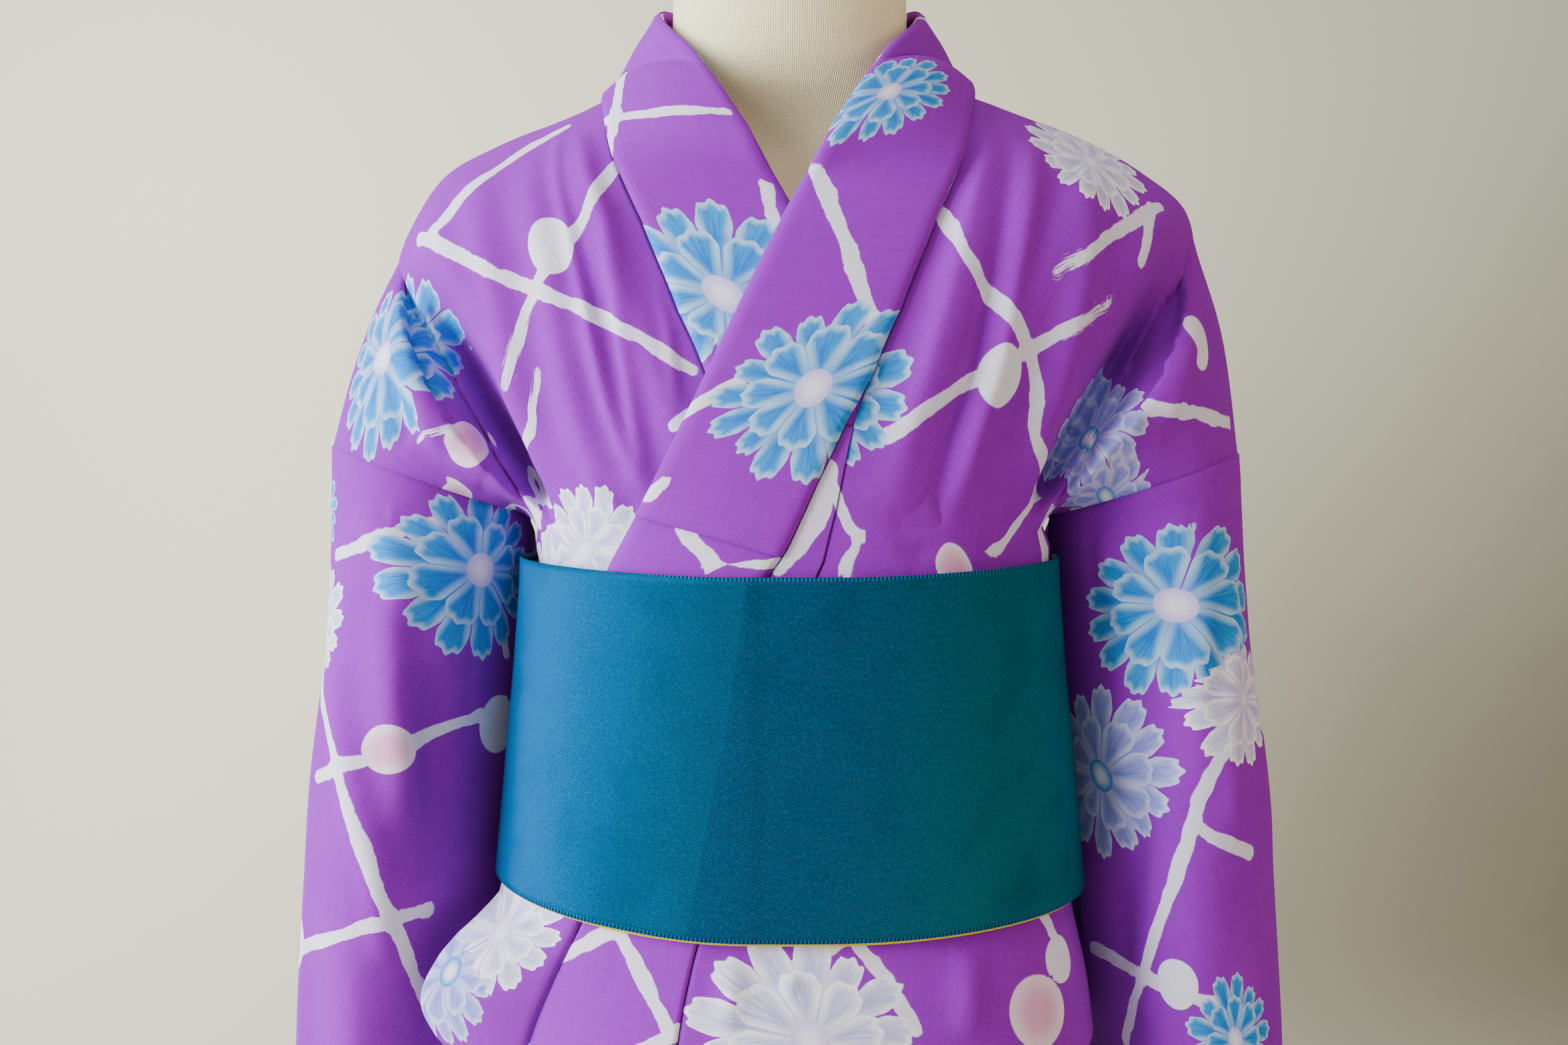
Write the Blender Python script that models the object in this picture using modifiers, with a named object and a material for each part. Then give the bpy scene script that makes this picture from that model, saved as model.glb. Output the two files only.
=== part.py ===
# A cotton yukata robe, worn closed with its own obi, on a limbless dress form and its stand.
# Metres, +Z up, the origin on the floor under the middle of the base. The robe faces -Y.
# Left and right are the wearer's: left is +X.
import math
from collections import namedtuple
from functools import lru_cache

import bmesh
import bpy
from mathutils import Vector

# Cloth
CLOTH = 0.0012
COLLAR_WALL = 0.0020
OBI_WALL = 0.0015
SEAM_GAP = 0.0003
IN_PLANE = 0.0008
SLEEVE_GAP = 0.0016
NECKLINE_GAP = 0.0022

# How far each layer lies out from the robe's inner surface
OVER_LAYER = 0.0048
SIDE_LAYER = 0.0016
OVER_COLLAR_LIFT = COLLAR_WALL + 0.0011
OBI_LAYER = 0.0073

# Heights
HEM = 0.070
OHASHORI_FOLD = 0.877
OBI_BOTTOM = 0.945
OBI_TOP = 1.110
WAIST = 1.116
SIDE_RISE = 0.020

# Cloth positions across a panel, from the centre back
NECK_U = 0.085
OKUMI_U = 0.070
SLEEVE_U = 0.335
SIDE_ARC = 0.200
OKUMI_WIDTH = 0.150

# Sleeve
SLEEVE_WIDTH = 0.340
SLEEVE_HEIGHT = 0.490
ARMHOLE = 0.230

# Form and stand
NECK_RADIUS = 0.061
NECK_TOP = 1.440
BASE_RADIUS = 0.160
BASE_HEIGHT = 0.014
POLE_RADIUS = 0.016
FORM_BOTTOM = 0.800

ROUNDNESS = 2.4

Ring = namedtuple("Ring", "height half_width front back")
TORSO = (
    Ring(0.790, 0.1600, 0.1180, 0.1240),
    Ring(0.877, 0.1490, 0.1100, 0.1120),
    Ring(0.945, 0.1425, 0.1030, 0.1050),
    Ring(1.030, 0.1352, 0.1000, 0.1015),
    Ring(1.085, 0.1305, 0.0990, 0.1005),
    Ring(1.120, 0.1288, 0.0985, 0.1005),
    Ring(1.140, 0.1305, 0.0988, 0.1015),
    Ring(1.165, 0.1440, 0.0988, 0.1040),
    Ring(1.200, 0.1640, 0.0970, 0.1060),
    Ring(1.250, 0.1920, 0.0910, 0.1040),
    Ring(1.300, 0.2200, 0.0790, 0.0960),
    Ring(1.360, 0.2400, 0.0610, 0.0860),
)
SKIRT = (
    Ring(0.070, 0.1530, 0.1200, 0.1280),
    Ring(0.350, 0.1500, 0.1170, 0.1260),
    Ring(0.620, 0.1520, 0.1180, 0.1270),
    Ring(0.790, 0.1490, 0.1100, 0.1150),
    Ring(0.850, 0.1425, 0.1030, 0.1060),
    Ring(0.877, 0.1374, 0.0984, 0.1004),
    Ring(0.945, 0.1306, 0.0911, 0.0931),
)

# The shoulder fold from the neck to the end of the sleeve seam, for each side
Ridge = namedtuple("Ridge", "x z")
SHOULDER = {
    1: (
        Ridge(0.0940, 1.357), Ridge(0.1220, 1.346), Ridge(0.1560, 1.333), Ridge(0.1830, 1.318),
        Ridge(0.2065, 1.300), Ridge(0.2160, 1.272), Ridge(0.2280, 1.229), Ridge(0.2355, 1.170),
    ),
    -1: (
        Ridge(0.0960, 1.355), Ridge(0.1220, 1.343), Ridge(0.1510, 1.331), Ridge(0.1780, 1.316),
        Ridge(0.1960, 1.290), Ridge(0.2090, 1.265), Ridge(0.2270, 1.222), Ridge(0.2400, 1.175),
    ),
}
RIDGE_Y = 0.005

# The front panel's inner edge from the neck down: the collar's seam, then the okumi's
Edge = namedtuple("Edge", "height x")
FRONT_EDGE = (
    Edge(1.3570, 0.0950), Edge(1.3105, 0.0830), Edge(1.2778, 0.0682), Edge(1.2338, 0.0500),
    Edge(1.2039, 0.0366), Edge(1.1820, 0.0276), Edge(1.1410, 0.0186), Edge(1.1160, 0.0120),
)
# The same seam and the collar's two edges further down, as places along the waist ring from centre front
Lap = namedtuple("Lap", "height okumi_seam collar_seam collar_edge")
LAP = (
    Lap(1.200, 0.0350, 0.0350, -0.0430),
    Lap(1.182, 0.0276, 0.0240, -0.0510),
    Lap(1.146, 0.0198, 0.0068, -0.0690),
    Lap(1.116, 0.0120, -0.0090, -0.0840),
    Lap(1.030, -0.0140, -0.0550, -0.1270),
    Lap(0.945, -0.0410, -0.0990, -0.1700),
    Lap(0.877, -0.0530, -0.1290, -0.1980),
)

# The collar's free edge from the waist up to centre back. Place is 0 at the waist, 1 at the neck point and 2 at
# centre back; laid is 1 where the collar lies on the chest and 0 where it stands clear.
Station = namedtuple("Station", "place x y z laid roll")
COLLAR = (
    Station(0.00, -0.0830, 0.000, 1.1160, 1.0, 0.0000),
    Station(0.15, -0.0640, 0.000, 1.1500, 1.0, 0.0000),
    Station(0.30, -0.0450, 0.000, 1.1880, 1.0, 0.0000),
    Station(0.45, -0.0280, 0.000, 1.2240, 1.0, 0.0000),
    Station(0.60, -0.0105, 0.000, 1.2610, 1.0, 0.0010),
    Station(0.75, 0.0070, -0.088, 1.2960, 0.6, 0.0035),
    Station(0.90, 0.0250, -0.078, 1.3280, 0.0, 0.0070),
    Station(1.05, 0.0455, -0.052, 1.3640, 0.0, 0.0090),
    Station(1.20, 0.0630, -0.016, 1.3900, 0.0, 0.0080),
    Station(1.40, 0.0665, 0.020, 1.4080, 0.0, 0.0050),
    Station(1.60, 0.0550, 0.052, 1.4160, 0.0, 0.0030),
    Station(1.80, 0.0310, 0.076, 1.4200, 0.0, 0.0020),
    Station(2.00, 0.0000, 0.085, 1.4210, 0.0, 0.0020),
)

# Soft folds on a body panel: where along it, how wide, how high it stands and where it fades
Fold = namedtuple("Fold", "u width height top bottom")
FRONT_FOLDS = {
    1: (
        Fold(0.118, 0.014, 0.0035, 0.03, 0.80),
        Fold(0.150, 0.012, 0.0025, 0.06, 0.95),
        Fold(0.215, 0.016, 0.0060, 0.02, 0.70),
    ),
    -1: (
        Fold(0.105, 0.013, 0.0040, 0.02, 0.90),
        Fold(0.135, 0.010, 0.0022, 0.35, 0.98),
        Fold(0.212, 0.016, 0.0060, 0.02, 0.75),
    ),
}
BACK_FOLDS = (
    Fold(0.060, 0.014, 0.0050, 0.55, 1.00),
    Fold(0.110, 0.016, 0.0070, 0.40, 1.00),
    Fold(0.165, 0.016, 0.0070, 0.30, 1.00),
    Fold(0.215, 0.018, 0.0090, 0.10, 0.95),
)

# Colour, roughness and metallic value of each material
COTTON = (0.36, 0.10, 0.60)
COTTON_COLLAR = (0.38, 0.11, 0.62)
SATIN = (0.01, 0.24, 0.30)
COVER = (0.80, 0.74, 0.60)
STEEL = (0.55, 0.55, 0.56)
WOOD = (0.42, 0.28, 0.16)
GRID = 1e-5


def mix(start, end, share):
    return start + (end - start) * share


def smooth(start, end, value):
    share = min(1.0, max(0.0, (value - start) / (end - start)))
    return share * share * (3.0 - 2.0 * share)


def rise(share):
    """A quarter round from 0 to 1."""
    share = min(1.0, max(0.0, share))
    return math.sqrt(max(0.0, 1.0 - (1.0 - share) ** 2))


def along(values, share):
    """A smooth curve through evenly spaced values, read at share from 0 to 1."""
    last = len(values) - 1
    place = min(max(share, 0.0), 1.0) * last
    left = min(int(place), last - 1)
    t = place - left
    p1, p2 = values[left], values[left + 1]
    p0 = values[left - 1] if left > 0 else 2 * p1 - p2
    p3 = values[left + 2] if left + 2 <= last else 2 * p2 - p1
    slope1, slope2 = (p2 - p0) / 2, (p3 - p1) / 2
    a = 2 * p1 - 2 * p2 + slope1 + slope2
    b = -3 * p1 + 3 * p2 - 2 * slope1 - slope2
    return ((a * t + b) * t + slope1) * t + p1


def read(rows, height, column):
    """A column of a table read at a height, with a smooth curve between rows."""
    rows = sorted(rows, key=lambda row: row.height)
    heights = [row.height for row in rows]
    height = min(max(height, heights[0]), heights[-1])
    i = max(k for k in range(len(rows) - 1) if heights[k] <= height)
    share = (height - heights[i]) / (heights[i + 1] - heights[i])
    return along([getattr(row, column) for row in rows], (i + share) / (len(rows) - 1))


@lru_cache(maxsize=4096)
def ring(table_name, height):
    """The outline of a torso or skirt section from centre front round +X to centre back, with its running length."""
    rows = TORSO if table_name == "torso" else SKIRT
    half = read(rows, height, "half_width")
    front = read(rows, height, "front")
    back = read(rows, height, "back")
    steps = 160
    points = []
    for k in range(steps + 1):
        angle = math.pi * k / steps
        sine, cosine = math.sin(angle), math.cos(angle)
        x = half * abs(sine) ** (2 / ROUNDNESS)
        depth = front if cosine > 0 else back
        y = -math.copysign(depth * abs(cosine) ** (2 / ROUNDNESS), cosine)
        points.append((x, y))
    lengths = [0.0]
    for (x0, y0), (x1, y1) in zip(points, points[1:]):
        lengths.append(lengths[-1] + math.hypot(x1 - x0, y1 - y0))
    return points, lengths


def half_round(table_name, height):
    return ring(table_name, round(height, 5))[1][-1]


def ring_point(table_name, height, arc, lift=0.0):
    """The point at a running length from centre front, moved out by lift."""
    points, lengths = ring(table_name, round(height, 5))
    total = lengths[-1]
    side = 1.0 if arc >= 0 else -1.0
    place = abs(arc)
    if place > total:
        place = 2 * total - place
        side = -side
    low, high = 0, len(lengths) - 1
    while high - low > 1:
        middle = (low + high) // 2
        if lengths[middle] <= place:
            low = middle
        else:
            high = middle
    share = (place - lengths[low]) / (lengths[low + 1] - lengths[low])
    (x0, y0), (x1, y1) = points[low], points[low + 1]
    before = points[max(low - 3, 0)]
    after = points[min(low + 4, len(points) - 1)]
    tx, ty = after[0] - before[0], after[1] - before[1]
    size = math.hypot(tx, ty)
    nx, ny = ty / size, -tx / size
    if low < 3:
        nx *= place / lengths[3]
    if low > len(points) - 6:
        nx *= (total - place) / (total - lengths[-4])
    size = math.hypot(nx, ny)
    x = mix(x0, x1, share) + nx / size * lift
    y = mix(y0, y1, share) + ny / size * lift
    return Vector((side * x, y, height))


def depth_at(x, height, back=False):
    """How far the torso stands out in front, or behind, at a place."""
    half = read(TORSO, height, "half_width")
    deep = read(TORSO, height, "back" if back else "front")
    inside = max(0.0, 1.0 - (abs(x) / half) ** ROUNDNESS)
    return deep * inside ** (1 / ROUNDNESS)


def waist_height(arc):
    """The line where the chest meets the waist, a little higher at the sides."""
    return WAIST + SIDE_RISE * smooth(0.04, SIDE_ARC, abs(arc))


def over_lift(arc, height):
    """How far the upper front layer lies out: full in front, little at its side."""
    return mix(OVER_LAYER, SIDE_LAYER, smooth(0.12, 0.19, arc))


def ridge_point(side, share):
    rows = SHOULDER[side]
    x = along([row.x for row in rows], share)
    z = along([row.z for row in rows], share)
    return Vector((x, RIDGE_Y, z))


def waist_arc(u):
    return 0.0150 + (u - OKUMI_U) * (SIDE_ARC - 0.0150) / (SLEEVE_U - OKUMI_U)


def fold_lift(folds, u, s):
    total = 0.0
    for fold in folds:
        fade = smooth(fold.top, fold.top + 0.18, s) * (1.0 - smooth(fold.bottom - 0.20, fold.bottom, s))
        total += fold.height * math.exp(-(((u - fold.u) / fold.width) ** 2)) * fade
    return total


def armhole_shape(share_u, s):
    """The sleeve cap's bulge and the valley between it and the chest, as a move in depth."""
    cap = smooth(0.55, 0.80, share_u)
    bulge = 0.056 * math.sin(math.pi * min(1.0, s * 0.97)) ** 0.62
    return cap, bulge


def front_point(side, c, s, lift=0.0):
    """A front panel, c from its inner edge to the sleeve seam and s from the shoulder to the waist."""
    u = mix(mix(NECK_U, OKUMI_U, s), SLEEVE_U, c)
    top = ridge_point(side, c)
    arc = waist_arc(mix(OKUMI_U, SLEEVE_U, c))
    low = ring_point("torso", waist_height(arc), arc)
    place = top.lerp(low, s)
    rows = FRONT_EDGE
    edge_z = mix(rows[0].height, rows[-1].height, s)
    edge_x = read(rows, edge_z, "x")
    straight = mix(rows[0].x, rows[-1].x, s)
    x = place.x + (edge_x - straight) * (1.0 - c) ** 2
    z = place.z
    chest = -depth_at(x, z)
    quick = rise(s * 3.5)
    y_chest = mix(top.y, chest, quick)
    cap, bulge = armhole_shape(c, s)
    y_cap = mix(top.y, low.y, s) - bulge * (1.0 - 0.25 * s)
    valley = 0.027 * math.exp(-(((c - 0.59) / 0.065) ** 2)) * smooth(0.06, 0.46, s) * (1 - smooth(0.8, 1.0, s))
    blend = cap * (1 - smooth(0.86, 1.0, s)) + smooth(0.86, 1.0, s) * smooth(0.75, 0.95, c)
    y = mix(y_chest, y_cap, blend) + valley
    rest = smooth(0.80, 1.0, s)
    y = mix(y, mix(y, low.y, rest), smooth(0.45, 0.75, c))
    bumps = fold_lift(FRONT_FOLDS[side], u, s)
    out = lift + bumps
    shoulder_up = 1.0 - rise(s * 4.0)
    return Vector((side * x, y - out * (1 - shoulder_up), z + out * shoulder_up))


def back_top(side, u):
    """The back panel's top: the neckline up to the neck point, then the shoulder fold."""
    if u >= NECK_U:
        return ridge_point(side, (u - NECK_U) / (SLEEVE_U - NECK_U))
    angle = math.pi / 2 * (u / NECK_U)
    first = SHOULDER[side][0]
    centre_z = 1.3565
    return Vector(
        (
            first.x * math.sin(angle),
            mix(RIDGE_Y, 0.0865, math.cos(angle) ** 0.9),
            mix(centre_z, first.z, math.sin(angle)),
        )
    )


def back_point(side, u, s, lift=0.0):
    """A back panel, u from centre back to the sleeve seam and s from the shoulder to the waist."""
    c = max(0.0, (u - NECK_U) / (SLEEVE_U - NECK_U))
    top = back_top(side, u)
    front_arc = waist_arc(SLEEVE_U)
    height = waist_height(front_arc)
    total = half_round("torso", height)
    arc = total - (total - SIDE_ARC) * u / SLEEVE_U
    low = ring_point("torso", height, arc)
    place = top.lerp(low, s)
    x, z = place.x, place.z
    y_back = mix(top.y, depth_at(x, z, back=True), rise(s * 3.5))
    cap, bulge = armhole_shape(c, s)
    y_cap = mix(top.y, low.y, s) + bulge * 0.95
    valley = 0.018 * math.exp(-(((c - 0.58) / 0.07) ** 2)) * smooth(0.10, 0.5, s) * (1 - smooth(0.8, 1.0, s))
    y = mix(y_back, y_cap, cap * (1 - smooth(0.86, 1.0, s))) - valley
    y = mix(y, mix(y, low.y, smooth(0.80, 1.0, s)), smooth(0.30, 0.75, c))
    bumps = fold_lift(BACK_FOLDS, u, s)
    out = lift + bumps * smooth(0.0, 0.08, s)
    shoulder_up = 1.0 - rise(s * 4.0)
    if u < NECK_U:
        shoulder_up *= u / NECK_U
    return Vector((side * x, y + out * (1 - shoulder_up), z + out * shoulder_up))


# Rows below the waist: how far down, how far the cloth bags out, and how far its tuck has turned in
Drop = namedtuple("Drop", "height bag turn")
FOLD_RADIUS = 0.0026
BAG = 0.0050
RETURN_TOP = 0.912


def lower_rows():
    """From the waist down to the tuck's fold, and back up inside it."""
    rows = [Drop(height, 0.0, 0.0) for height in (1.085, 1.030, 0.950)]
    rows += [Drop(0.925, 0.6 * BAG, 0.0), Drop(0.900, BAG, 0.0), Drop(0.886, BAG, 0.0)]
    for k in range(5):
        angle = math.pi * k / 4
        height = OHASHORI_FOLD + FOLD_RADIUS * (1 - math.sin(angle))
        rows.append(Drop(height, BAG, -FOLD_RADIUS * (1 - math.cos(angle))))
    rows.append(Drop(0.895, BAG, -2 * FOLD_RADIUS))
    rows.append(Drop(RETURN_TOP, BAG, -2 * FOLD_RADIUS))
    return rows


def bagged(step, arc, over):
    """How far a row lies out. The under layer bags only beside the upper one, which covers its front."""
    share = 1.0 if over else smooth(0.200, 0.250, arc)
    return step.bag * share + step.turn


def lap_arc(height, column):
    return read(LAP, height, column)


def panel_arc(c, height):
    """Where a front panel's column lies on the ring below the waist."""
    start = lap_arc(height, "okumi_seam") + IN_PLANE / 2
    return mix(start, SIDE_ARC, c)


def lower_point(side, arc, row, lift, start_height):
    share = smooth(0.95, WAIST, row.height)
    height = row.height + share * (start_height - WAIST)
    return mirrored(ring_point("torso", height, arc, lift + bagged(row, arc, side > 0)), side)


def mirrored(point, side):
    return Vector((side * point.x, point.y, point.z))


def material(name, colour, roughness, metallic=0.0):
    found = bpy.data.materials.get(name)
    if found:
        return found
    made = bpy.data.materials.new(name)
    made.use_nodes = True
    shader = made.node_tree.nodes["Principled BSDF"]
    shader.inputs["Base Color"].default_value = (*colour, 1.0)
    shader.inputs["Roughness"].default_value = roughness
    shader.inputs["Metallic"].default_value = metallic
    made.diffuse_color = (*colour, 1.0)
    return made


def add_object(name, mesh, colour, roughness, metallic=0.0):
    made = bpy.data.objects.new(name, mesh)
    mesh.materials.append(material(name, colour, roughness, metallic))
    collection.objects.link(made)
    return made


def cloth(name, grids, wall, colour, roughness=0.8, outward=True):
    """One wall of cloth from grids of points, welded where grids share an edge, then thickened outwards."""
    bm = bmesh.new()
    for rows, closed in grids:
        made = [[bm.verts.new(point) for point in row] for row in rows]
        for upper, lower in zip(made, made[1:]):
            columns = len(upper) if closed else len(upper) - 1
            for k in range(columns):
                n = (k + 1) % len(upper)
                bm.faces.new((upper[k], lower[k], lower[n], upper[n]))
    bmesh.ops.remove_doubles(bm, verts=bm.verts, dist=GRID)
    bmesh.ops.recalc_face_normals(bm, faces=bm.faces)
    highest = max(bm.faces, key=lambda face: outward_score(face))
    if (outward_score(highest, signed=True) < 0) == outward:
        bmesh.ops.reverse_faces(bm, faces=bm.faces)
    mesh = bpy.data.meshes.new(name)
    bm.to_mesh(mesh)
    bm.free()
    mesh.shade_smooth()
    made = add_object(name, mesh, colour, roughness)
    shell = made.modifiers.new("wall", "SOLIDIFY")
    shell.thickness = wall
    shell.offset = 1.0
    shell.use_even_offset = False
    return made


def outward_score(face, signed=False):
    """How far a face lies out from the middle line, and which way it points."""
    centre = face.calc_center_median()
    flat = Vector((centre.x, centre.y, 0.0))
    if signed:
        return face.normal.dot(flat)
    return flat.length * abs(face.normal.dot(flat.normalized()))


COLUMNS = (0.0, 0.09, 0.18, 0.27, 0.36, 0.44, 0.50, 0.55, 0.60, 0.65, 0.71, 0.80, 0.90, 1.0)
NECK_COLUMNS = (0.004, 0.2, 0.4, 0.6, 0.8)
CENTRE_GAP = 0.0006
ROWS = (0.0, 0.012, 0.045, 0.10, 0.17, 0.26, 0.36, 0.47, 0.58, 0.69, 0.80, 0.90, 1.0)


def body_panel(side):
    """Front and back in one length, over the shoulder and down to the tuck under the obi."""
    over = side > 0
    front_lift = (lambda arc: over_lift(arc, 0)) if over else (lambda arc: 0.0)
    front = []
    for s in ROWS:
        row = []
        for c in COLUMNS:
            arc = waist_arc(mix(OKUMI_U, SLEEVE_U, c))
            lift = front_lift(arc) * smooth(0.02, 0.30, s)
            row.append(front_point(side, c, s, lift))
        front.append(row)
    for step in lower_rows():
        row = []
        for c in COLUMNS:
            arc = panel_arc(c, step.height)
            top = waist_height(waist_arc(mix(OKUMI_U, SLEEVE_U, c)))
            row.append(lower_point(side, arc, step, front_lift(arc), top))
        front.append(row)
    side_lift = front_lift(SIDE_ARC)
    us = [NECK_U * share for share in NECK_COLUMNS]
    us += [mix(NECK_U, SLEEVE_U, c) for c in COLUMNS]
    back = []
    for s in ROWS:
        row = []
        for u in us:
            lift = side_lift * smooth(0.05, 0.2, u) * smooth(0.02, 0.30, s)
            row.append(back_point(side, u, s, lift))
        row[0].x = side * CENTRE_GAP
        back.append(row)
    side_height = waist_height(SIDE_ARC)
    for step in lower_rows():
        row = []
        for u in us:
            total = half_round("torso", step.height)
            arc = total - (total - SIDE_ARC) * u / SLEEVE_U
            lift = side_lift * smooth(0.05, 0.2, u)
            row.append(lower_point(side, arc, step, lift, side_height))
        row[0].x = side * CENTRE_GAP
        back.append(row)
    return cloth(
        "body_left" if over else "body_right", [(front, False), (back, False)], CLOTH, COTTON
    )


def lap_gap(height):
    """How far the collar's seam lies from the okumi's, which meet where the okumi begins."""
    return read(LAP, height, "okumi_seam") - read(LAP, height, "collar_seam")


OKUMI_ROWS = (0.76, 0.84, 0.92, 0.98)
OKUMI_ACROSS = (1.0, 0.67, 0.33, 0.0)


def chest_row(side, s, lift, start, end, across):
    """Points on the chest at a panel's inner edge and beyond it, between two distances from that edge."""
    edge = front_point(side, 0.0, s, lift)
    row = []
    for share in across:
        x = side * edge.x - mix(start, end, share)
        y = -depth_at(x, edge.z) - lift
        row.append(Vector((side * x, y, edge.z)))
    return row


def okumi(side):
    """The front overlap between the body's front edge and the collar, down to the tuck."""
    over = side > 0
    lift = OVER_LAYER if over else 0.0
    rows = []
    for s in OKUMI_ROWS:
        height = front_point(side, 0.0, s).z
        rows.append(chest_row(side, s, lift, IN_PLANE, lap_gap(height) - IN_PLANE, OKUMI_ACROSS))
    for step in lower_rows():
        start = lap_arc(step.height, "collar_seam") + IN_PLANE / 2
        end = lap_arc(step.height, "okumi_seam") - IN_PLANE / 2
        out = lift + bagged(step, 0.0, over)
        row = [
            mirrored(ring_point("torso", step.height, mix(end, start, share), out), side)
            for share in OKUMI_ACROSS
        ]
        rows.append(row)
    return cloth("okumi_left" if over else "okumi_right", [(rows, False)], CLOTH, COTTON)


def collar_seam(side, place, lift):
    """The collar's sewn edge: up the front panel's inner edge, then round the back neckline."""
    if place > 1.0:
        u = NECK_U * (2.0 - place)
        point = back_top(side, u)
        return mirrored(point + Vector((0.0, 0.0, NECKLINE_GAP)), side)
    s = 1.0 - place
    edge = front_point(side, 0.0, s, lift)
    x = side * edge.x - IN_PLANE - lap_gap(min(edge.z, 1.2))
    if edge.z < 1.25:
        edge.y = -depth_at(x, edge.z) - lift
    return Vector((side * x, edge.y, edge.z))


def collar_point(side, place, across, lift):
    shares = [row.place for row in COLLAR]
    i = max(k for k in range(len(shares) - 1) if shares[k] <= place)
    even = (i + (place - shares[i]) / (shares[i + 1] - shares[i])) / (len(shares) - 1)
    values = {name: along([getattr(row, name) for row in COLLAR], even) for name in Station._fields}
    seam = collar_seam(side, place, lift)
    edge = Vector((side * values["x"], values["y"], values["z"]))
    laid = smooth(0.0, 1.0, values["laid"])
    edge.y = mix(edge.y - lift, -depth_at(edge.x, min(edge.z, 1.33)) - lift, laid)
    point = seam.lerp(edge, across)
    out = Vector((point.x * 0.4, point.y * 0.4, 0.07)).normalized()
    point += out * values["roll"] * math.sin(math.pi * across)
    if laid > 0.0:
        point.y = mix(point.y, -depth_at(point.x, min(point.z, 1.33)) - lift, laid)
    return point


COLLAR_ACROSS = (0.0, 0.33, 0.67, 1.0)
BACK_PLACES = (1.2, 1.4, 1.6, 1.8, 2.0)


def collar_rows(side, lift):
    rows = []
    for place in [1.0 - s for s in reversed(ROWS)] + list(BACK_PLACES):
        lift_here = lift * (1.0 - smooth(0.9, 1.3, place))
        rows.append([collar_point(side, place, across, lift_here) for across in COLLAR_ACROSS])
    return rows


def moved_out(rows, distance):
    """The same grid moved along its own normals."""
    moved = []
    for i, row in enumerate(rows):
        up, down = rows[max(i - 1, 0)], rows[min(i + 1, len(rows) - 1)]
        new_row = []
        for k, point in enumerate(row):
            before, after = row[max(k - 1, 0)], row[min(k + 1, len(row) - 1)]
            normal = (down[k] - up[k]).cross(after - before).normalized()
            if normal.dot(Vector((point.x, point.y, 0.0))) < 0:
                normal.negate()
            new_row.append(point + normal * distance)
        moved.append(new_row)
    return moved


# Where the collar's free edge stands clear of the side, below the obi
Flare = namedtuple("Flare", "height x y")
FLARE = (
    Flare(0.877, -0.1560, -0.0640), Flare(0.890, -0.1700, -0.0660), Flare(0.907, -0.1765, -0.0670),
    Flare(0.925, -0.1690, -0.0640), Flare(0.940, -0.1560, -0.0560),
)
FLARE_BOW = 0.0040


def collar_below(step):
    """A row of the collar between the waist and the tuck, which flares out at the side below the obi."""
    start = lap_arc(step.height, "collar_seam") - IN_PLANE / 2
    end = lap_arc(step.height, "collar_edge")
    out = OVER_LAYER + bagged(step, 0.0, True)
    free = smooth(0.952, 0.935, step.height)
    seam = ring_point("torso", step.height, start, out)
    edge = Vector((read(FLARE, step.height, "x"), read(FLARE, step.height, "y") - step.turn, step.height))
    row = []
    for share in COLLAR_ACROSS:
        laid = ring_point("torso", step.height, mix(start, end, share), out)
        flared = seam.lerp(edge, share)
        flared.y -= FLARE_BOW * math.sin(math.pi * share)
        row.append(laid.lerp(flared, free))
    return row


def collar():
    """One strip from the upper lap at the tuck, round the neck and down to the waist of the under lap."""
    upper = [collar_below(step) for step in reversed(lower_rows()[:-3])]
    rows = upper + round_neck()
    return cloth("collar", [(rows, False)], COLLAR_WALL, COTTON_COLLAR)


def round_neck():
    return collar_rows(1, OVER_LAYER) + list(reversed(collar_rows(-1, 0.0)))[1:]


OVER_COLLAR_SKIP = 1


def over_collar():
    """The second strip sewn over the collar round the neck, ending just above the obi."""
    rows = moved_out(round_neck(), OVER_COLLAR_LIFT)[OVER_COLLAR_SKIP:-OVER_COLLAR_SKIP]
    return cloth("over_collar", [(rows, False)], CLOTH, COTTON_COLLAR)


def wave(w, height):
    """The skirt's soft upright folds, which deepen towards the hem."""
    grow = smooth(0.90, 0.25, height)
    return 0.0035 * grow * (math.sin(w * 37.0 + 0.6) + 0.6 * math.sin(w * 61.0 + 2.0))


SKIRT_HEIGHTS = (0.925, 0.880, 0.820, 0.740, 0.640, 0.530, 0.420, 0.310, 0.200, 0.125, HEM)
SKIRT_PITCH = 0.0225
SKIRT_LAP = 0.0032


def skirt_arcs(start, end):
    """Places across a skirt panel on one pitch for all of them, so that layers keep the same facets."""
    inner = [k * SKIRT_PITCH for k in range(-12, 40)]
    return [start] + [arc for arc in inner if start + 0.006 < arc < end - 0.006] + [end]


def skirt_rows(arcs, lift, side):
    rows = []
    for height in SKIRT_HEIGHTS:
        total = half_round("skirt", height)
        row = []
        for arc in arcs:
            place = min(arc, total - IN_PLANE / 2)
            out = lift(arc) + wave(side * place, height)
            row.append(mirrored(ring_point("skirt", height, place, out), side))
        rows.append(row)
    return rows


def skirt_panel(side):
    over = side > 0
    start = lap_arc(OHASHORI_FOLD, "okumi_seam") + IN_PLANE / 2
    end = min(half_round("skirt", height) for height in SKIRT_HEIGHTS) - 0.004
    arcs = skirt_arcs(start, end) + [1.0]

    def lift(arc):
        return SKIRT_LAP * (1.0 - smooth(0.215, 0.270, arc)) if over else 0.0

    rows = skirt_rows(arcs, lift, side)
    return cloth("skirt_body_left" if over else "skirt_body_right", [(rows, False)], CLOTH, COTTON)


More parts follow.
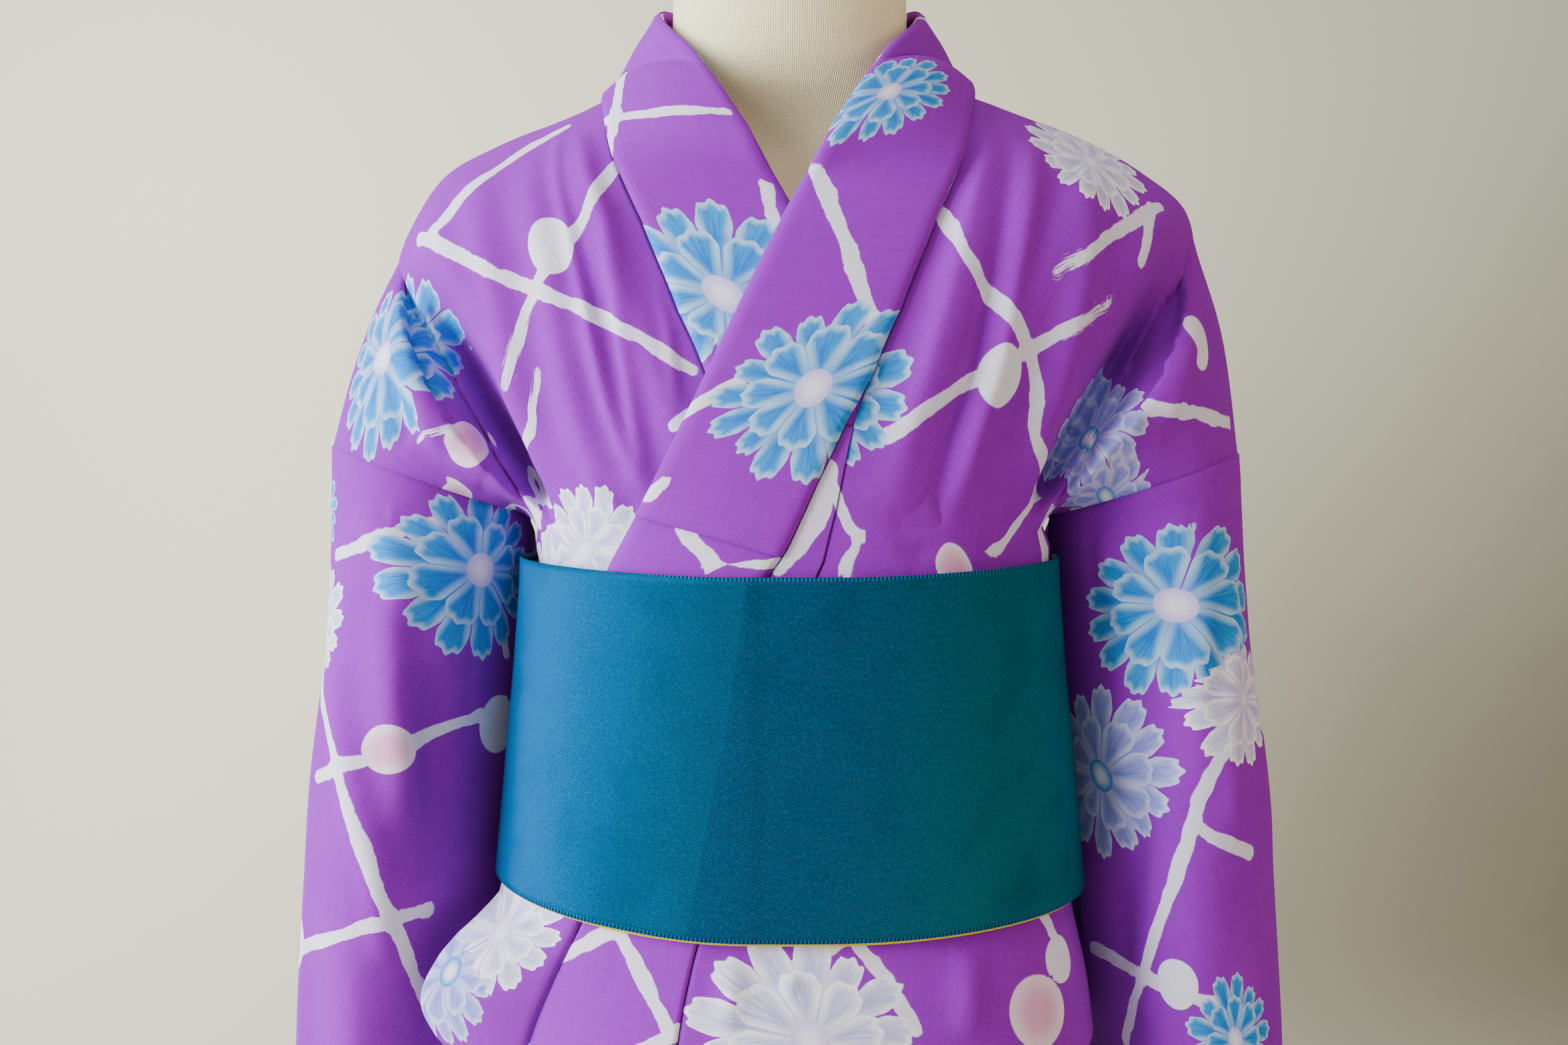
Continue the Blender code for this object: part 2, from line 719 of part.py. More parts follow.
def skirt_okumi(side):
    over = side > 0
    end = lap_arc(OHASHORI_FOLD, "okumi_seam") - IN_PLANE / 2
    arcs = skirt_arcs(end - OKUMI_WIDTH, end)
    rows = skirt_rows(arcs, lambda arc: SKIRT_LAP if over else 0.0, side)
    return cloth("skirt_okumi_left" if over else "skirt_okumi_right", [(rows, False)], CLOTH, COTTON)


# Outlines of the sleeve from above, by the share of its half height: hanging free, then at its lower end,
# where the two faces meet below the cuff's opening
Loop = namedtuple("Loop", "share free_x free_y low_x low_y")
SLEEVE_FRONT = (
    Loop(0.00, 0.2470, 0.010, 0.2560, 0.010), Loop(0.14, 0.2400, -0.036, 0.2460, -0.036),
    Loop(0.28, 0.2140, -0.062, 0.2140, -0.054), Loop(0.42, 0.1780, -0.052, 0.1800, -0.028),
    Loop(0.56, 0.1540, 0.004, 0.1640, 0.030), Loop(0.70, 0.1440, 0.044, 0.1640, 0.070),
    Loop(0.85, 0.1460, 0.080, 0.1660, 0.100), Loop(1.00, 0.1800, 0.134, 0.1840, 0.136),
)
SLEEVE_BACK = (
    Loop(0.00, 0.2470, 0.010, 0.2560, 0.010), Loop(0.14, 0.2500, 0.050, 0.2600, 0.048),
    Loop(0.28, 0.2380, 0.084, 0.2480, 0.082), Loop(0.42, 0.2080, 0.096, 0.2180, 0.100),
    Loop(0.56, 0.1570, 0.082, 0.1980, 0.100), Loop(0.70, 0.1700, 0.105, 0.1930, 0.108),
    Loop(0.85, 0.1820, 0.124, 0.1920, 0.125), Loop(1.00, 0.1800, 0.134, 0.1840, 0.136),
)
# Columns round one face: the first ones match the body's rows along the seam
SLEEVE_OPEN = (0.55, 0.63, 0.71, 0.79, 0.87, 0.94, 1.0)
SLEEVE_ROWS = (0.0, 0.022, 0.08, 0.19, 0.33, 0.48, 0.64, 0.80, 0.92, 1.0)
SEAM_END = 0.80
BODY_ROOM = 0.0130
UNDERARM_GAP = 0.0040
UNDERARM_BACK = 0.0060
FURI_DROP = 0.200
CORNER = 0.36


def loop_place(front, share, low):
    rows = SLEEVE_FRONT if front else SLEEVE_BACK
    free_x = along([row.free_x for row in rows], share)
    free_y = along([row.free_y for row in rows], share)
    low_x = along([row.low_x for row in rows], share)
    low_y = along([row.low_y for row in rows], share)
    return mix(free_x, low_x, low), mix(free_y, low_y, low)


def sleeve_top(side, b, front):
    """The sleeve's top edge: its seam to the body, then the open edge that hangs under the arm."""
    s = SEAM_END * min(1.0, b / ARMHOLE)
    lift = SIDE_LAYER if side > 0 else 0.0
    if front:
        edge, inner = front_point(side, 1.0, s, lift), front_point(side, 0.97, s, lift)
    else:
        edge, inner = back_point(side, SLEEVE_U, s, lift), back_point(side, SLEEVE_U - 0.008, s, lift)
    away = (edge - inner).normalized()
    point = edge + away * (SLEEVE_GAP + UNDERARM_GAP * smooth(0.6, 1.0, b / ARMHOLE))
    if not front:
        point.y += UNDERARM_BACK * smooth(0.86, 1.0, b / ARMHOLE)
    point.x *= side
    if b > ARMHOLE:
        far = (b - ARMHOLE) / (SLEEVE_HEIGHT - ARMHOLE)
        end_x, end_y = loop_place(front, b / SLEEVE_HEIGHT, 0.0)
        across = rise(far * (2.2 if front else 1.5))
        point.x = mix(point.x, end_x, across)
        point.y = mix(point.y, end_y, across)
        point.z -= FURI_DROP * far ** 1.8
    return point


def beside_body(y, height, room):
    """The torso's half width at a depth, with room for the obi and the tuck."""
    half = read(TORSO, height, "half_width") + room
    deep = read(TORSO, height, "back") + room
    return half * max(0.0, 1.0 - (abs(y) / deep) ** ROUNDNESS) ** (1 / ROUNDNESS)


def sleeve_point(side, b, a, front):
    """b from the shoulder fold round one face, a from the seam down to the cuff, both in cloth lengths."""
    top = sleeve_top(side, b, front)
    share = b / SLEEVE_HEIGHT
    down = a / SLEEVE_WIDTH
    x, y = loop_place(front, share, smooth(0.45, 1.0, down))
    settle = smooth(0.0, 0.55, down)
    facing = -1.0 if front else 1.0
    folds = 0.0040 * math.sin(b * 38.0 + (0.8 if front else 2.1)) * smooth(0.1, 0.6, down)
    folds += 0.0022 * math.sin(b * 69.0 + 1.3 * side) * smooth(0.3, 1.0, down)
    folds *= smooth(0.0, 0.10, share) * (1 - smooth(0.40, 0.52, share))
    length = a * (1.0 - CORNER * smooth(0.62, 1.0, share) * down)
    place = Vector((mix(top.x, x, settle), mix(top.y, y, settle) + facing * folds, top.z - length))
    room = BODY_ROOM * smooth(ARMHOLE / SLEEVE_HEIGHT, 0.56, share)
    if room > 0.0:
        place.x = max(place.x, beside_body(place.y, place.z, room))
    return mirrored(place, side)


def sleeve(side):
    """A bag folded at the shoulder line, open at the cuff and along the edge that faces the body."""
    armhole_share = ARMHOLE / SLEEVE_HEIGHT
    shares = [armhole_share * s / SEAM_END for s in ROWS if s < SEAM_END]
    shares += [armhole_share] + list(SLEEVE_OPEN)
    rows = []
    for share_a in SLEEVE_ROWS:
        a = share_a * SLEEVE_WIDTH
        back = [sleeve_point(side, share * SLEEVE_HEIGHT, a, False) for share in reversed(shares)]
        front = [sleeve_point(side, share * SLEEVE_HEIGHT, a, True) for share in shares]
        rows.append(back + front[1:-1])
    return cloth("sleeve_left" if side > 0 else "sleeve_right", [(rows, True)], CLOTH, COTTON)


OBI_COLUMNS = 56


def obi_rows(lift, bottom, top, rows_up=2):
    rows = []
    for k in range(rows_up + 1):
        row = []
        for i in range(OBI_COLUMNS):
            share = i / OBI_COLUMNS
            height = mix(bottom, top, k / rows_up)
            total = half_round("torso", height)
            arc = mix(-total, total, share)
            height += 0.009 * smooth(0.02, 0.20, abs(arc)) * k / rows_up
            height += (0.016 if arc < 0 else 0.008) * smooth(0.02, 0.20, abs(arc)) * (1 - k / rows_up)
            out = mix(OBI_LAYER, SIDE_LAYER + CLOTH + 0.0016, smooth(0.17, 0.24, abs(arc)))
            row.append(ring_point("torso", height, arc, lift + out))
        rows.append(row)
    return rows


def obi_wrap(name, lift, bottom, top):
    return cloth(name, [(obi_rows(lift, bottom, top), True)], OBI_WALL, SATIN, 0.42)


FOLD_WIDTH = 0.160
FOLD_LOW = 0.962
FOLD_HIGH = 1.145
FOLD_THICK = 0.012
TIE_WIDTH = 0.070
OBI_BACK = 0.1136


def band_loop(name, width, low, high, inner, outer, wall):
    """A flattened loop of obi cloth seen edge on, wide along X."""
    radius = (outer - inner) / 2
    middle = (outer + inner) / 2
    profile = []
    steps = 6
    for k in range(steps + 1):
        angle = math.pi * k / steps
        profile.append((middle - radius * math.cos(angle), high + radius * math.sin(angle)))
    for k in range(steps + 1):
        angle = math.pi * k / steps
        profile.append((middle + radius * math.cos(angle), low - radius * math.sin(angle)))
    rows = [[Vector((x, y, z)) for y, z in profile] for x in (-width / 2, 0.0, width / 2)]
    bm = bmesh.new()
    made = [[bm.verts.new(point) for point in row] for row in rows]
    for left, right in zip(made, made[1:]):
        for k in range(len(left)):
            n = (k + 1) % len(left)
            bm.faces.new((left[k], right[k], right[n], left[n]))
    bmesh.ops.recalc_face_normals(bm, faces=bm.faces)
    mesh = bpy.data.meshes.new(name)
    bm.to_mesh(mesh)
    bm.free()
    mesh.shade_smooth()
    made = add_object(name, mesh, SATIN, 0.42)
    shell = made.modifiers.new("wall", "SOLIDIFY")
    shell.thickness = wall
    shell.offset = 0.0
    return made


def knot():
    """The plain flat fold at the back, and the narrow end that passes over it and tucks into the wraps."""
    inner = OBI_BACK + OBI_WALL
    outer = inner + FOLD_THICK
    band_loop("obi_fold", FOLD_WIDTH, FOLD_LOW, FOLD_HIGH, inner, outer, OBI_WALL)
    gap = OBI_WALL + SEAM_GAP
    low, high = FOLD_LOW - gap, FOLD_HIGH + gap
    band_loop("obi_tie", TIE_WIDTH, low, high, inner - gap, outer + gap, OBI_WALL)


def turned(name, profile, steps, colour, roughness, metallic=0.0):
    """A turned shape from (radius, height) points, top to bottom, closed on the axis."""
    mesh = bpy.data.meshes.new(name)
    points = [(radius, 0.0, height) for radius, height in profile]
    mesh.from_pydata(points, [(k, k + 1) for k in range(len(points) - 1)], [])
    made = add_object(name, mesh, colour, roughness, metallic)
    screw = made.modifiers.new("turn", "SCREW")
    screw.steps = steps
    screw.render_steps = steps
    screw.use_merge_vertices = True
    screw.merge_threshold = 0.00005
    screw.use_smooth_shade = True
    return made


FormRing = namedtuple("FormRing", "height half_width front back")
FORM = (
    FormRing(0.800, 0.131, 0.088, 0.091),
    FormRing(0.808, 0.136, 0.092, 0.095),
    FormRing(0.860, 0.134, 0.091, 0.094),
    FormRing(0.950, 0.125, 0.085, 0.087),
    FormRing(1.040, 0.122, 0.084, 0.085),
    FormRing(1.120, 0.1260, 0.088, 0.090),
    FormRing(1.180, 0.136, 0.091, 0.096),
    FormRing(1.230, 0.150, 0.087, 0.096),
    FormRing(1.265, 0.160, 0.074, 0.088),
    FormRing(1.290, 0.165, 0.060, 0.076),
    FormRing(1.308, 0.162, 0.048, 0.064),
    FormRing(1.322, 0.146, 0.041, 0.055),
    FormRing(1.334, 0.118, 0.040, 0.050),
    FormRing(1.344, 0.090, 0.043, 0.050),
    FormRing(1.354, 0.073, 0.049, 0.053),
    FormRing(1.368, 0.065, 0.056, 0.057),
    FormRing(1.384, 0.062, 0.059, 0.060),
    FormRing(1.400, 0.061, 0.060, 0.061),
    FormRing(NECK_TOP, NECK_RADIUS, NECK_RADIUS, NECK_RADIUS),
)
FORM_COLUMNS = 28


def form_torso():
    """The covered form from the hips to the top of the neck, solid and smooth."""
    bm = bmesh.new()
    rings = []
    for row in FORM:
        power = mix(2 / 2.25, 1.0, smooth(1.33, 1.38, row.height))
        points = []
        for k in range(FORM_COLUMNS):
            angle = 2 * math.pi * k / FORM_COLUMNS
            sine, cosine = math.sin(angle), math.cos(angle)
            x = row.half_width * math.copysign(abs(sine) ** power, sine)
            depth = row.front if cosine > 0 else row.back
            y = -depth * math.copysign(abs(cosine) ** power, cosine)
            points.append(bm.verts.new((x, y + 0.002, row.height)))
        rings.append(points)
    for low, high in zip(rings, rings[1:]):
        for k in range(FORM_COLUMNS):
            n = (k + 1) % FORM_COLUMNS
            bm.faces.new((low[k], low[n], high[n], high[k]))
    bm.faces.new(rings[0])
    bm.faces.new(rings[-1])
    bmesh.ops.recalc_face_normals(bm, faces=bm.faces)
    mesh = bpy.data.meshes.new("form_torso")
    bm.to_mesh(mesh)
    bm.free()
    mesh.shade_smooth()
    return add_object("form_torso", mesh, COVER, 0.85)


def stand():
    """The neck's wooden cap, the pole and the round base."""
    cap_low = NECK_TOP + SEAM_GAP
    cap = ((0.0, cap_low + 0.020), (0.030, cap_low + 0.018), (0.052, cap_low + 0.011))
    cap += ((0.0605, cap_low + 0.004), (0.0605, cap_low), (0.0, cap_low))
    made = turned("form_neck_cap", cap, 32, WOOD, 0.45)
    made.location = (0.0, 0.002, 0.0)
    pole_top = FORM_BOTTOM - SEAM_GAP
    pole = ((0.0, pole_top), (POLE_RADIUS, pole_top))
    pole += ((POLE_RADIUS, BASE_HEIGHT + SEAM_GAP), (0.0, BASE_HEIGHT + SEAM_GAP))
    turned("stand_pole", pole, 24, STEEL, 0.30, 1.0)
    base = ((0.0, BASE_HEIGHT), (BASE_RADIUS - 0.006, BASE_HEIGHT), (BASE_RADIUS, BASE_HEIGHT - 0.005))
    base += ((BASE_RADIUS, 0.0), (0.0, 0.0))
    turned("stand_base", base, 48, STEEL, 0.35, 1.0)


def build():
    form_torso()
    stand()
    for side in (1, -1):
        body_panel(side)
        okumi(side)
        skirt_panel(side)
        skirt_okumi(side)
        sleeve(side)
    collar()
    over_collar()
    obi_wrap("obi_inner_wrap", 0.0, OBI_BOTTOM - 0.0015, OBI_TOP - 0.004)
    obi_wrap("obi_outer_wrap", OBI_WALL + SEAM_GAP, OBI_BOTTOM, OBI_TOP)
    knot()


for old in list(bpy.data.objects):
    bpy.data.objects.remove(old, do_unlink=True)
collection = bpy.data.collections.new("yukata_on_dress_form")
bpy.context.scene.collection.children.link(collection)
build()
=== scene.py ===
# A printed cotton yukata with its obi, on a limbless dress form: cloth, print, stand and studio
import math
from functools import lru_cache

import bpy
import numpy as np
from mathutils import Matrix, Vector, noise


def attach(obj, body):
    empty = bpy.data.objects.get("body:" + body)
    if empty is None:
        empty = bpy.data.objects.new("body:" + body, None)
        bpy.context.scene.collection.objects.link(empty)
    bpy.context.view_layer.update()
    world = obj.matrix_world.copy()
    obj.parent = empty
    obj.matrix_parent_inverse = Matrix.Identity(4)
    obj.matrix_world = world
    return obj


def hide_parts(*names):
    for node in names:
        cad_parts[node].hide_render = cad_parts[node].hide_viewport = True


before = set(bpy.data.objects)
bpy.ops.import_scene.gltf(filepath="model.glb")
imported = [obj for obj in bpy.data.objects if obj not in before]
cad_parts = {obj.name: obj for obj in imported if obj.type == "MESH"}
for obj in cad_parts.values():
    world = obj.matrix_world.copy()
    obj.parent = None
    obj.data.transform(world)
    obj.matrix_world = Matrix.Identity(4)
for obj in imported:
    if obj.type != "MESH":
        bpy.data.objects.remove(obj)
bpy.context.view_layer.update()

root = "root"


# shared sizes
robe = {
    "roundness": 2.4,
    "waist": 1.116, "sideRise": 0.020, "tuckFold": 0.877, "tuckTop": 0.912, "hem": 0.070,
    "neckU": 0.085, "okumiU": 0.070, "sleeveU": 0.335, "sideArc": 0.200, "okumiWidth": 0.150,
    "ridgeY": 0.005, "seam": 0.0004,
    "overLayer": 0.0048, "sideLayer": 0.0016, "cloth": 0.0016, "shell": 0.0006,
    "bag": 0.0050, "tuckRadius": 0.0026, "tuckSteps": 8, "waistArcStart": 0.015,
    "ringSteps": 160, "neckBackY": 0.0865, "neckBackZ": 1.3565,
    "cap": {"start": 0.55, "end": 0.80, "bulge": 0.056, "power": 0.62, "back": 0.95},
    "frontValley": (0.027, 0.59, 0.065), "backValley": (0.018, 0.58, 0.070),
    "torso": {
        "height": (0.79, 0.877, 0.945, 1.03, 1.085, 1.12, 1.14, 1.165, 1.2, 1.25, 1.3, 1.36),
        "halfWidth": (0.16, 0.149, 0.1425, 0.1352, 0.1305, 0.1288, 0.1305, 0.144, 0.164, 0.192, 0.22, 0.24),
        "front": (0.118, 0.11, 0.103, 0.1, 0.099, 0.0985, 0.0988, 0.0988, 0.097, 0.091, 0.079, 0.061),
        "back": (0.124, 0.112, 0.105, 0.1015, 0.1005, 0.1005, 0.1015, 0.104, 0.106, 0.104, 0.096, 0.086),
    },
    "skirt": {
        "height": (0.07, 0.35, 0.62, 0.79, 0.85, 0.877, 0.945),
        "halfWidth": (0.153, 0.15, 0.152, 0.149, 0.1425, 0.1374, 0.1306),
        "front": (0.12, 0.117, 0.118, 0.11, 0.103, 0.0984, 0.0911),
        "back": (0.128, 0.126, 0.127, 0.115, 0.106, 0.1004, 0.0931),
    },
    "shoulder": {
        1: {
            "x": (0.094, 0.122, 0.156, 0.183, 0.2065, 0.216, 0.228, 0.2355),
            "z": (1.357, 1.346, 1.333, 1.318, 1.3, 1.272, 1.229, 1.17),
        },
        -1: {
            "x": (0.096, 0.122, 0.151, 0.178, 0.196, 0.209, 0.227, 0.24),
            "z": (1.355, 1.343, 1.331, 1.316, 1.29, 1.265, 1.222, 1.175),
        },
    },
    "frontEdge": {
        "height": (1.357, 1.3105, 1.2778, 1.2338, 1.2039, 1.182, 1.141, 1.116),
        "x": (0.095, 0.083, 0.0682, 0.05, 0.0366, 0.0276, 0.0186, 0.012),
    },
    "laps": {
        "height": (1.2, 1.182, 1.146, 1.116, 1.03, 0.945, 0.877),
        "okumiSeam": (0.035, 0.0276, 0.0198, 0.012, -0.014, -0.041, -0.053),
        "collarSeam": (0.035, 0.024, 0.0068, -0.009, -0.055, -0.099, -0.129),
        "collarEdge": (-0.043, -0.051, -0.069, -0.084, -0.127, -0.17, -0.198),
    },
    "frontFolds": {
        1: {
            "u": (0.118, 0.15, 0.215), "width": (0.014, 0.012, 0.016), "height": (0.0035, 0.0025, 0.006),
            "top": (0.03, 0.06, 0.02), "bottom": (0.8, 0.95, 0.7),
        },
        -1: {
            "u": (0.105, 0.135, 0.212), "width": (0.013, 0.01, 0.016), "height": (0.004, 0.0022, 0.006),
            "top": (0.02, 0.35, 0.02), "bottom": (0.9, 0.98, 0.75),
        },
    },
    "backFolds": {
        "u": (0.06, 0.11, 0.165, 0.215), "width": (0.014, 0.016, 0.016, 0.018),
        "height": (0.005, 0.007, 0.007, 0.009), "top": (0.55, 0.4, 0.3, 0.1), "bottom": (1, 1, 1, 0.95),
    },
}


def mix(start, end, share):
    return start + (end - start) * share


def smooth(start, end, value):
    share = min(1.0, max(0.0, (value - start) / (end - start)))
    return share * share * (3.0 - 2.0 * share)


def rise(share):  # a quarter round from 0 to 1
    share = min(1.0, max(0.0, share))
    return math.sqrt(max(0.0, 1.0 - (1.0 - share) ** 2))


def along(values, share):  # a smooth curve through evenly spaced values
    last = len(values) - 1
    place = min(max(share, 0.0), 1.0) * last
    left = min(int(place), last - 1)
    t = place - left
    p1, p2 = values[left], values[left + 1]
    p0 = values[left - 1] if left > 0 else 2 * p1 - p2
    p3 = values[left + 2] if left + 2 <= last else 2 * p2 - p1
    slope1, slope2 = (p2 - p0) / 2, (p3 - p1) / 2
    a = 2 * p1 - 2 * p2 + slope1 + slope2
    b = -3 * p1 + 3 * p2 - 2 * slope1 - slope2
    return ((a * t + b) * t + slope1) * t + p1


def read(table, place, column, key="height"):  # a table's column at a place, smooth between its rows
    keys, values = table[key], table[column]
    if keys[0] > keys[-1]:
        keys, values = keys[::-1], values[::-1]
    place = min(max(place, keys[0]), keys[-1])
    i = 0
    while i < len(keys) - 2 and keys[i + 1] <= place:
        i += 1
    share = (place - keys[i]) / (keys[i + 1] - keys[i])
    return along(values, (i + share) / (len(keys) - 1))


@lru_cache(maxsize=8192)
def ring(name, height):  # a section from centre front round +X to centre back, with its running length
    half, front, back = (read(robe[name], height, column) for column in ("halfWidth", "front", "back"))
    points, lengths = [], [0.0]
    for k in range(robe["ringSteps"] + 1):
        angle = math.pi * k / robe["ringSteps"]
        sine, cosine = math.sin(angle), math.cos(angle)
        depth = front if cosine > 0 else back
        x = half * abs(sine) ** (2 / robe["roundness"])
        y = -math.copysign(depth * abs(cosine) ** (2 / robe["roundness"]), cosine)
        if points:
            lengths.append(lengths[-1] + math.hypot(x - points[-1][0], y - points[-1][1]))
        points.append((x, y))
    return points, lengths


def halfRound(name, height):
    return ring(name, round(height, 5))[1][-1]


def ringPoint(name, height, arc, lift=0.0):  # a place along a section, moved out by lift
    points, lengths = ring(name, round(height, 5))
    total = lengths[-1]
    side = 1.0 if arc >= 0 else -1.0
    place = abs(arc)
    if place > total:
        place = 2 * total - place
        side = -side
    low, high = 0, len(lengths) - 1
    while high - low > 1:
        middle = (low + high) // 2
        if lengths[middle] <= place:
            low = middle
        else:
            high = middle
    share = (place - lengths[low]) / (lengths[low + 1] - lengths[low])
    (x0, y0), (x1, y1) = points[low], points[low + 1]
    before, after = points[max(low - 3, 0)], points[min(low + 4, len(points) - 1)]
    tx, ty = after[0] - before[0], after[1] - before[1]
    size = math.hypot(tx, ty)
    nx, ny = ty / size, -tx / size
    if low < 3:
        nx *= place / lengths[3]
    if low > len(points) - 6:
        nx *= (total - place) / (total - lengths[-4])
    size = math.hypot(nx, ny)
    x = mix(x0, x1, share) + nx / size * lift
    y = mix(y0, y1, share) + ny / size * lift
    return Vector((side * x, y, height))


def depthAt(x, height, back=False):  # how far the torso stands out at a place
    half = read(robe["torso"], height, "halfWidth")
    deep = read(robe["torso"], height, "back" if back else "front")
    inside = max(0.0, 1.0 - (abs(x) / half) ** robe["roundness"])
    return deep * inside ** (1 / robe["roundness"])


def mirrored(point, side):
    return Vector((side * point.x, point.y, point.z))


def waistHeight(arc):
    return robe["waist"] + robe["sideRise"] * smooth(0.04, robe["sideArc"], abs(arc))


def overLift(arc):
    return mix(robe["overLayer"], robe["sideLayer"], smooth(0.12, 0.19, arc))


def ridgePoint(side, share):
    rows = robe["shoulder"][side]
    return Vector((along(rows["x"], share), robe["ridgeY"], along(rows["z"], share)))


def waistArc(u):
    start = robe["waistArcStart"]
    return start + (u - robe["okumiU"]) * (robe["sideArc"] - start) / (robe["sleeveU"] - robe["okumiU"])


def foldLift(folds, u, s):
    total = 0.0
    columns = (folds[key] for key in ("u", "width", "height", "top", "bottom"))
    for at, width, height, top, bottom in zip(*columns):
        fade = smooth(top, top + 0.18, s) * (1.0 - smooth(bottom - 0.20, bottom, s))
        total += height * math.exp(-(((u - at) / width) ** 2)) * fade
    return total


def armholeShape(across, s):  # the sleeve cap's bulge
    cap = robe["cap"]
    bulge = cap["bulge"] * math.sin(math.pi * min(1.0, s * 0.97)) ** cap["power"]
    return smooth(cap["start"], cap["end"], across), bulge


def valleyAt(valley, c):  # the hollow between chest and sleeve cap
    depth, place, width = valley
    return depth * math.exp(-(((c - place) / width) ** 2))


def seamArc(c):
    return waistArc(mix(robe["okumiU"], robe["sleeveU"], c))


def frontPoint(side, c, s, lift=0.0):  # c from the inner edge to the sleeve seam, s from shoulder to waist
    u = mix(mix(robe["neckU"], robe["okumiU"], s), robe["sleeveU"], c)
    top = ridgePoint(side, c)
    arc = seamArc(c)
    low = ringPoint("torso", waistHeight(arc), arc)
    place = top.lerp(low, s)
    edge = robe["frontEdge"]
    edgeX = read(edge, mix(edge["height"][0], edge["height"][-1], s), "x")
    x = place.x + (edgeX - mix(edge["x"][0], edge["x"][-1], s)) * (1.0 - c) ** 2
    z = place.z
    yChest = mix(top.y, -depthAt(x, z), rise(s * 3.5))
    cap, bulge = armholeShape(c, s)
    yCap = mix(top.y, low.y, s) - bulge * (1.0 - 0.25 * s)
    valley = valleyAt(robe["frontValley"], c) * smooth(0.06, 0.46, s) * (1 - smooth(0.8, 1.0, s))
    blend = cap * (1 - smooth(0.86, 1.0, s)) + smooth(0.86, 1.0, s) * smooth(0.75, 0.95, c)
    y = mix(yChest, yCap, blend) + valley
    y = mix(y, mix(y, low.y, smooth(0.80, 1.0, s)), smooth(0.45, 0.75, c))
    out = lift + foldLift(robe["frontFolds"][side], u, s)
    shoulderUp = 1.0 - rise(s * 4.0)
    return Vector((side * x, y - out * (1 - shoulderUp), z + out * shoulderUp))


def backTop(side, u):  # the neckline up to the neck point, then the shoulder fold
    neck = robe["neckU"]
    if u >= neck:
        return ridgePoint(side, (u - neck) / (robe["sleeveU"] - neck))
    angle = math.pi / 2 * (u / neck)
    rows = robe["shoulder"][side]
    return Vector((
        rows["x"][0] * math.sin(angle),
        mix(robe["ridgeY"], robe["neckBackY"], math.cos(angle) ** 0.9),
        mix(robe["neckBackZ"], rows["z"][0], math.sin(angle)),
    ))


def backPoint(side, u, s, lift=0.0):  # u from centre back to the sleeve seam
    c = max(0.0, (u - robe["neckU"]) / (robe["sleeveU"] - robe["neckU"]))
    top = backTop(side, u)
    height = waistHeight(waistArc(robe["sleeveU"]))
    total = halfRound("torso", height)
    low = ringPoint("torso", height, total - (total - robe["sideArc"]) * u / robe["sleeveU"])
    place = top.lerp(low, s)
    x, z = place.x, place.z
    yBack = mix(top.y, depthAt(x, z, back=True), rise(s * 3.5))
    cap, bulge = armholeShape(c, s)
    yCap = mix(top.y, low.y, s) + bulge * robe["cap"]["back"]
    valley = valleyAt(robe["backValley"], c) * smooth(0.10, 0.5, s) * (1 - smooth(0.8, 1.0, s))
    y = mix(yBack, yCap, cap * (1 - smooth(0.86, 1.0, s))) - valley
    y = mix(y, mix(y, low.y, smooth(0.80, 1.0, s)), smooth(0.30, 0.75, c))
    out = lift + foldLift(robe["backFolds"], u, s) * smooth(0.0, 0.08, s)
    shoulderUp = 1.0 - rise(s * 4.0)
    if u < robe["neckU"]:
        shoulderUp *= u / robe["neckU"]
    return Vector((side * x, y + out * (1 - shoulderUp), z + out * shoulderUp))


lower = {"top": 1.112, "bagTop": 0.950, "bagEnd": 0.884, "underObi": 26, "bagSteps": 22}


def lowerRows():  # below the waist: height, how far the cloth bags out, how far its tuck turns in
    rows = []
    for k in range(1, lower["underObi"] + 1):
        rows.append((mix(lower["top"], lower["bagTop"], k / lower["underObi"]), 0.0, 0.0))
    for k in range(1, lower["bagSteps"] + 1):
        height = mix(lower["bagTop"], lower["bagEnd"], k / lower["bagSteps"])
        rows.append((height, robe["bag"] * smooth(0.955, 0.895, height), 0.0))
    for k in range(robe["tuckSteps"] + 1):
        angle = math.pi * k / robe["tuckSteps"]
        height = robe["tuckFold"] + robe["tuckRadius"] * (1 - math.sin(angle))
        rows.append((height, robe["bag"], -robe["tuckRadius"] * (1 - math.cos(angle))))
    for height in (0.886, 0.898, robe["tuckTop"]):
        rows.append((height, robe["bag"], -2 * robe["tuckRadius"]))
    return rows


def bagged(row, arc, over):
    share = 1.0 if over else smooth(0.200, 0.250, arc)
    return row[1] * share + row[2]


def lowerPoint(side, arc, row, lift, startHeight):
    height = row[0] + smooth(0.95, robe["waist"], row[0]) * (startHeight - robe["waist"])
    return mirrored(ringPoint("torso", height, arc, lift + bagged(row, arc, side > 0)), side)


def lapGap(height):
    return read(robe["laps"], height, "okumiSeam") - read(robe["laps"], height, "collarSeam")


# cloth meshes
weave = {
    "creaseGain": 1.7, "rippleScale": 9.0, "fineScale": 3.1, "fineShare": 0.35, "seamClear": 0.014,
    "levels": ((8, 500), (3, 120), (1, 50)), "pull": 1.8,  # grid step and rounds of each unrolling pass
}


def placed(name, data):
    made = bpy.data.objects.new(name, data)
    bpy.context.scene.collection.objects.link(made)
    return made


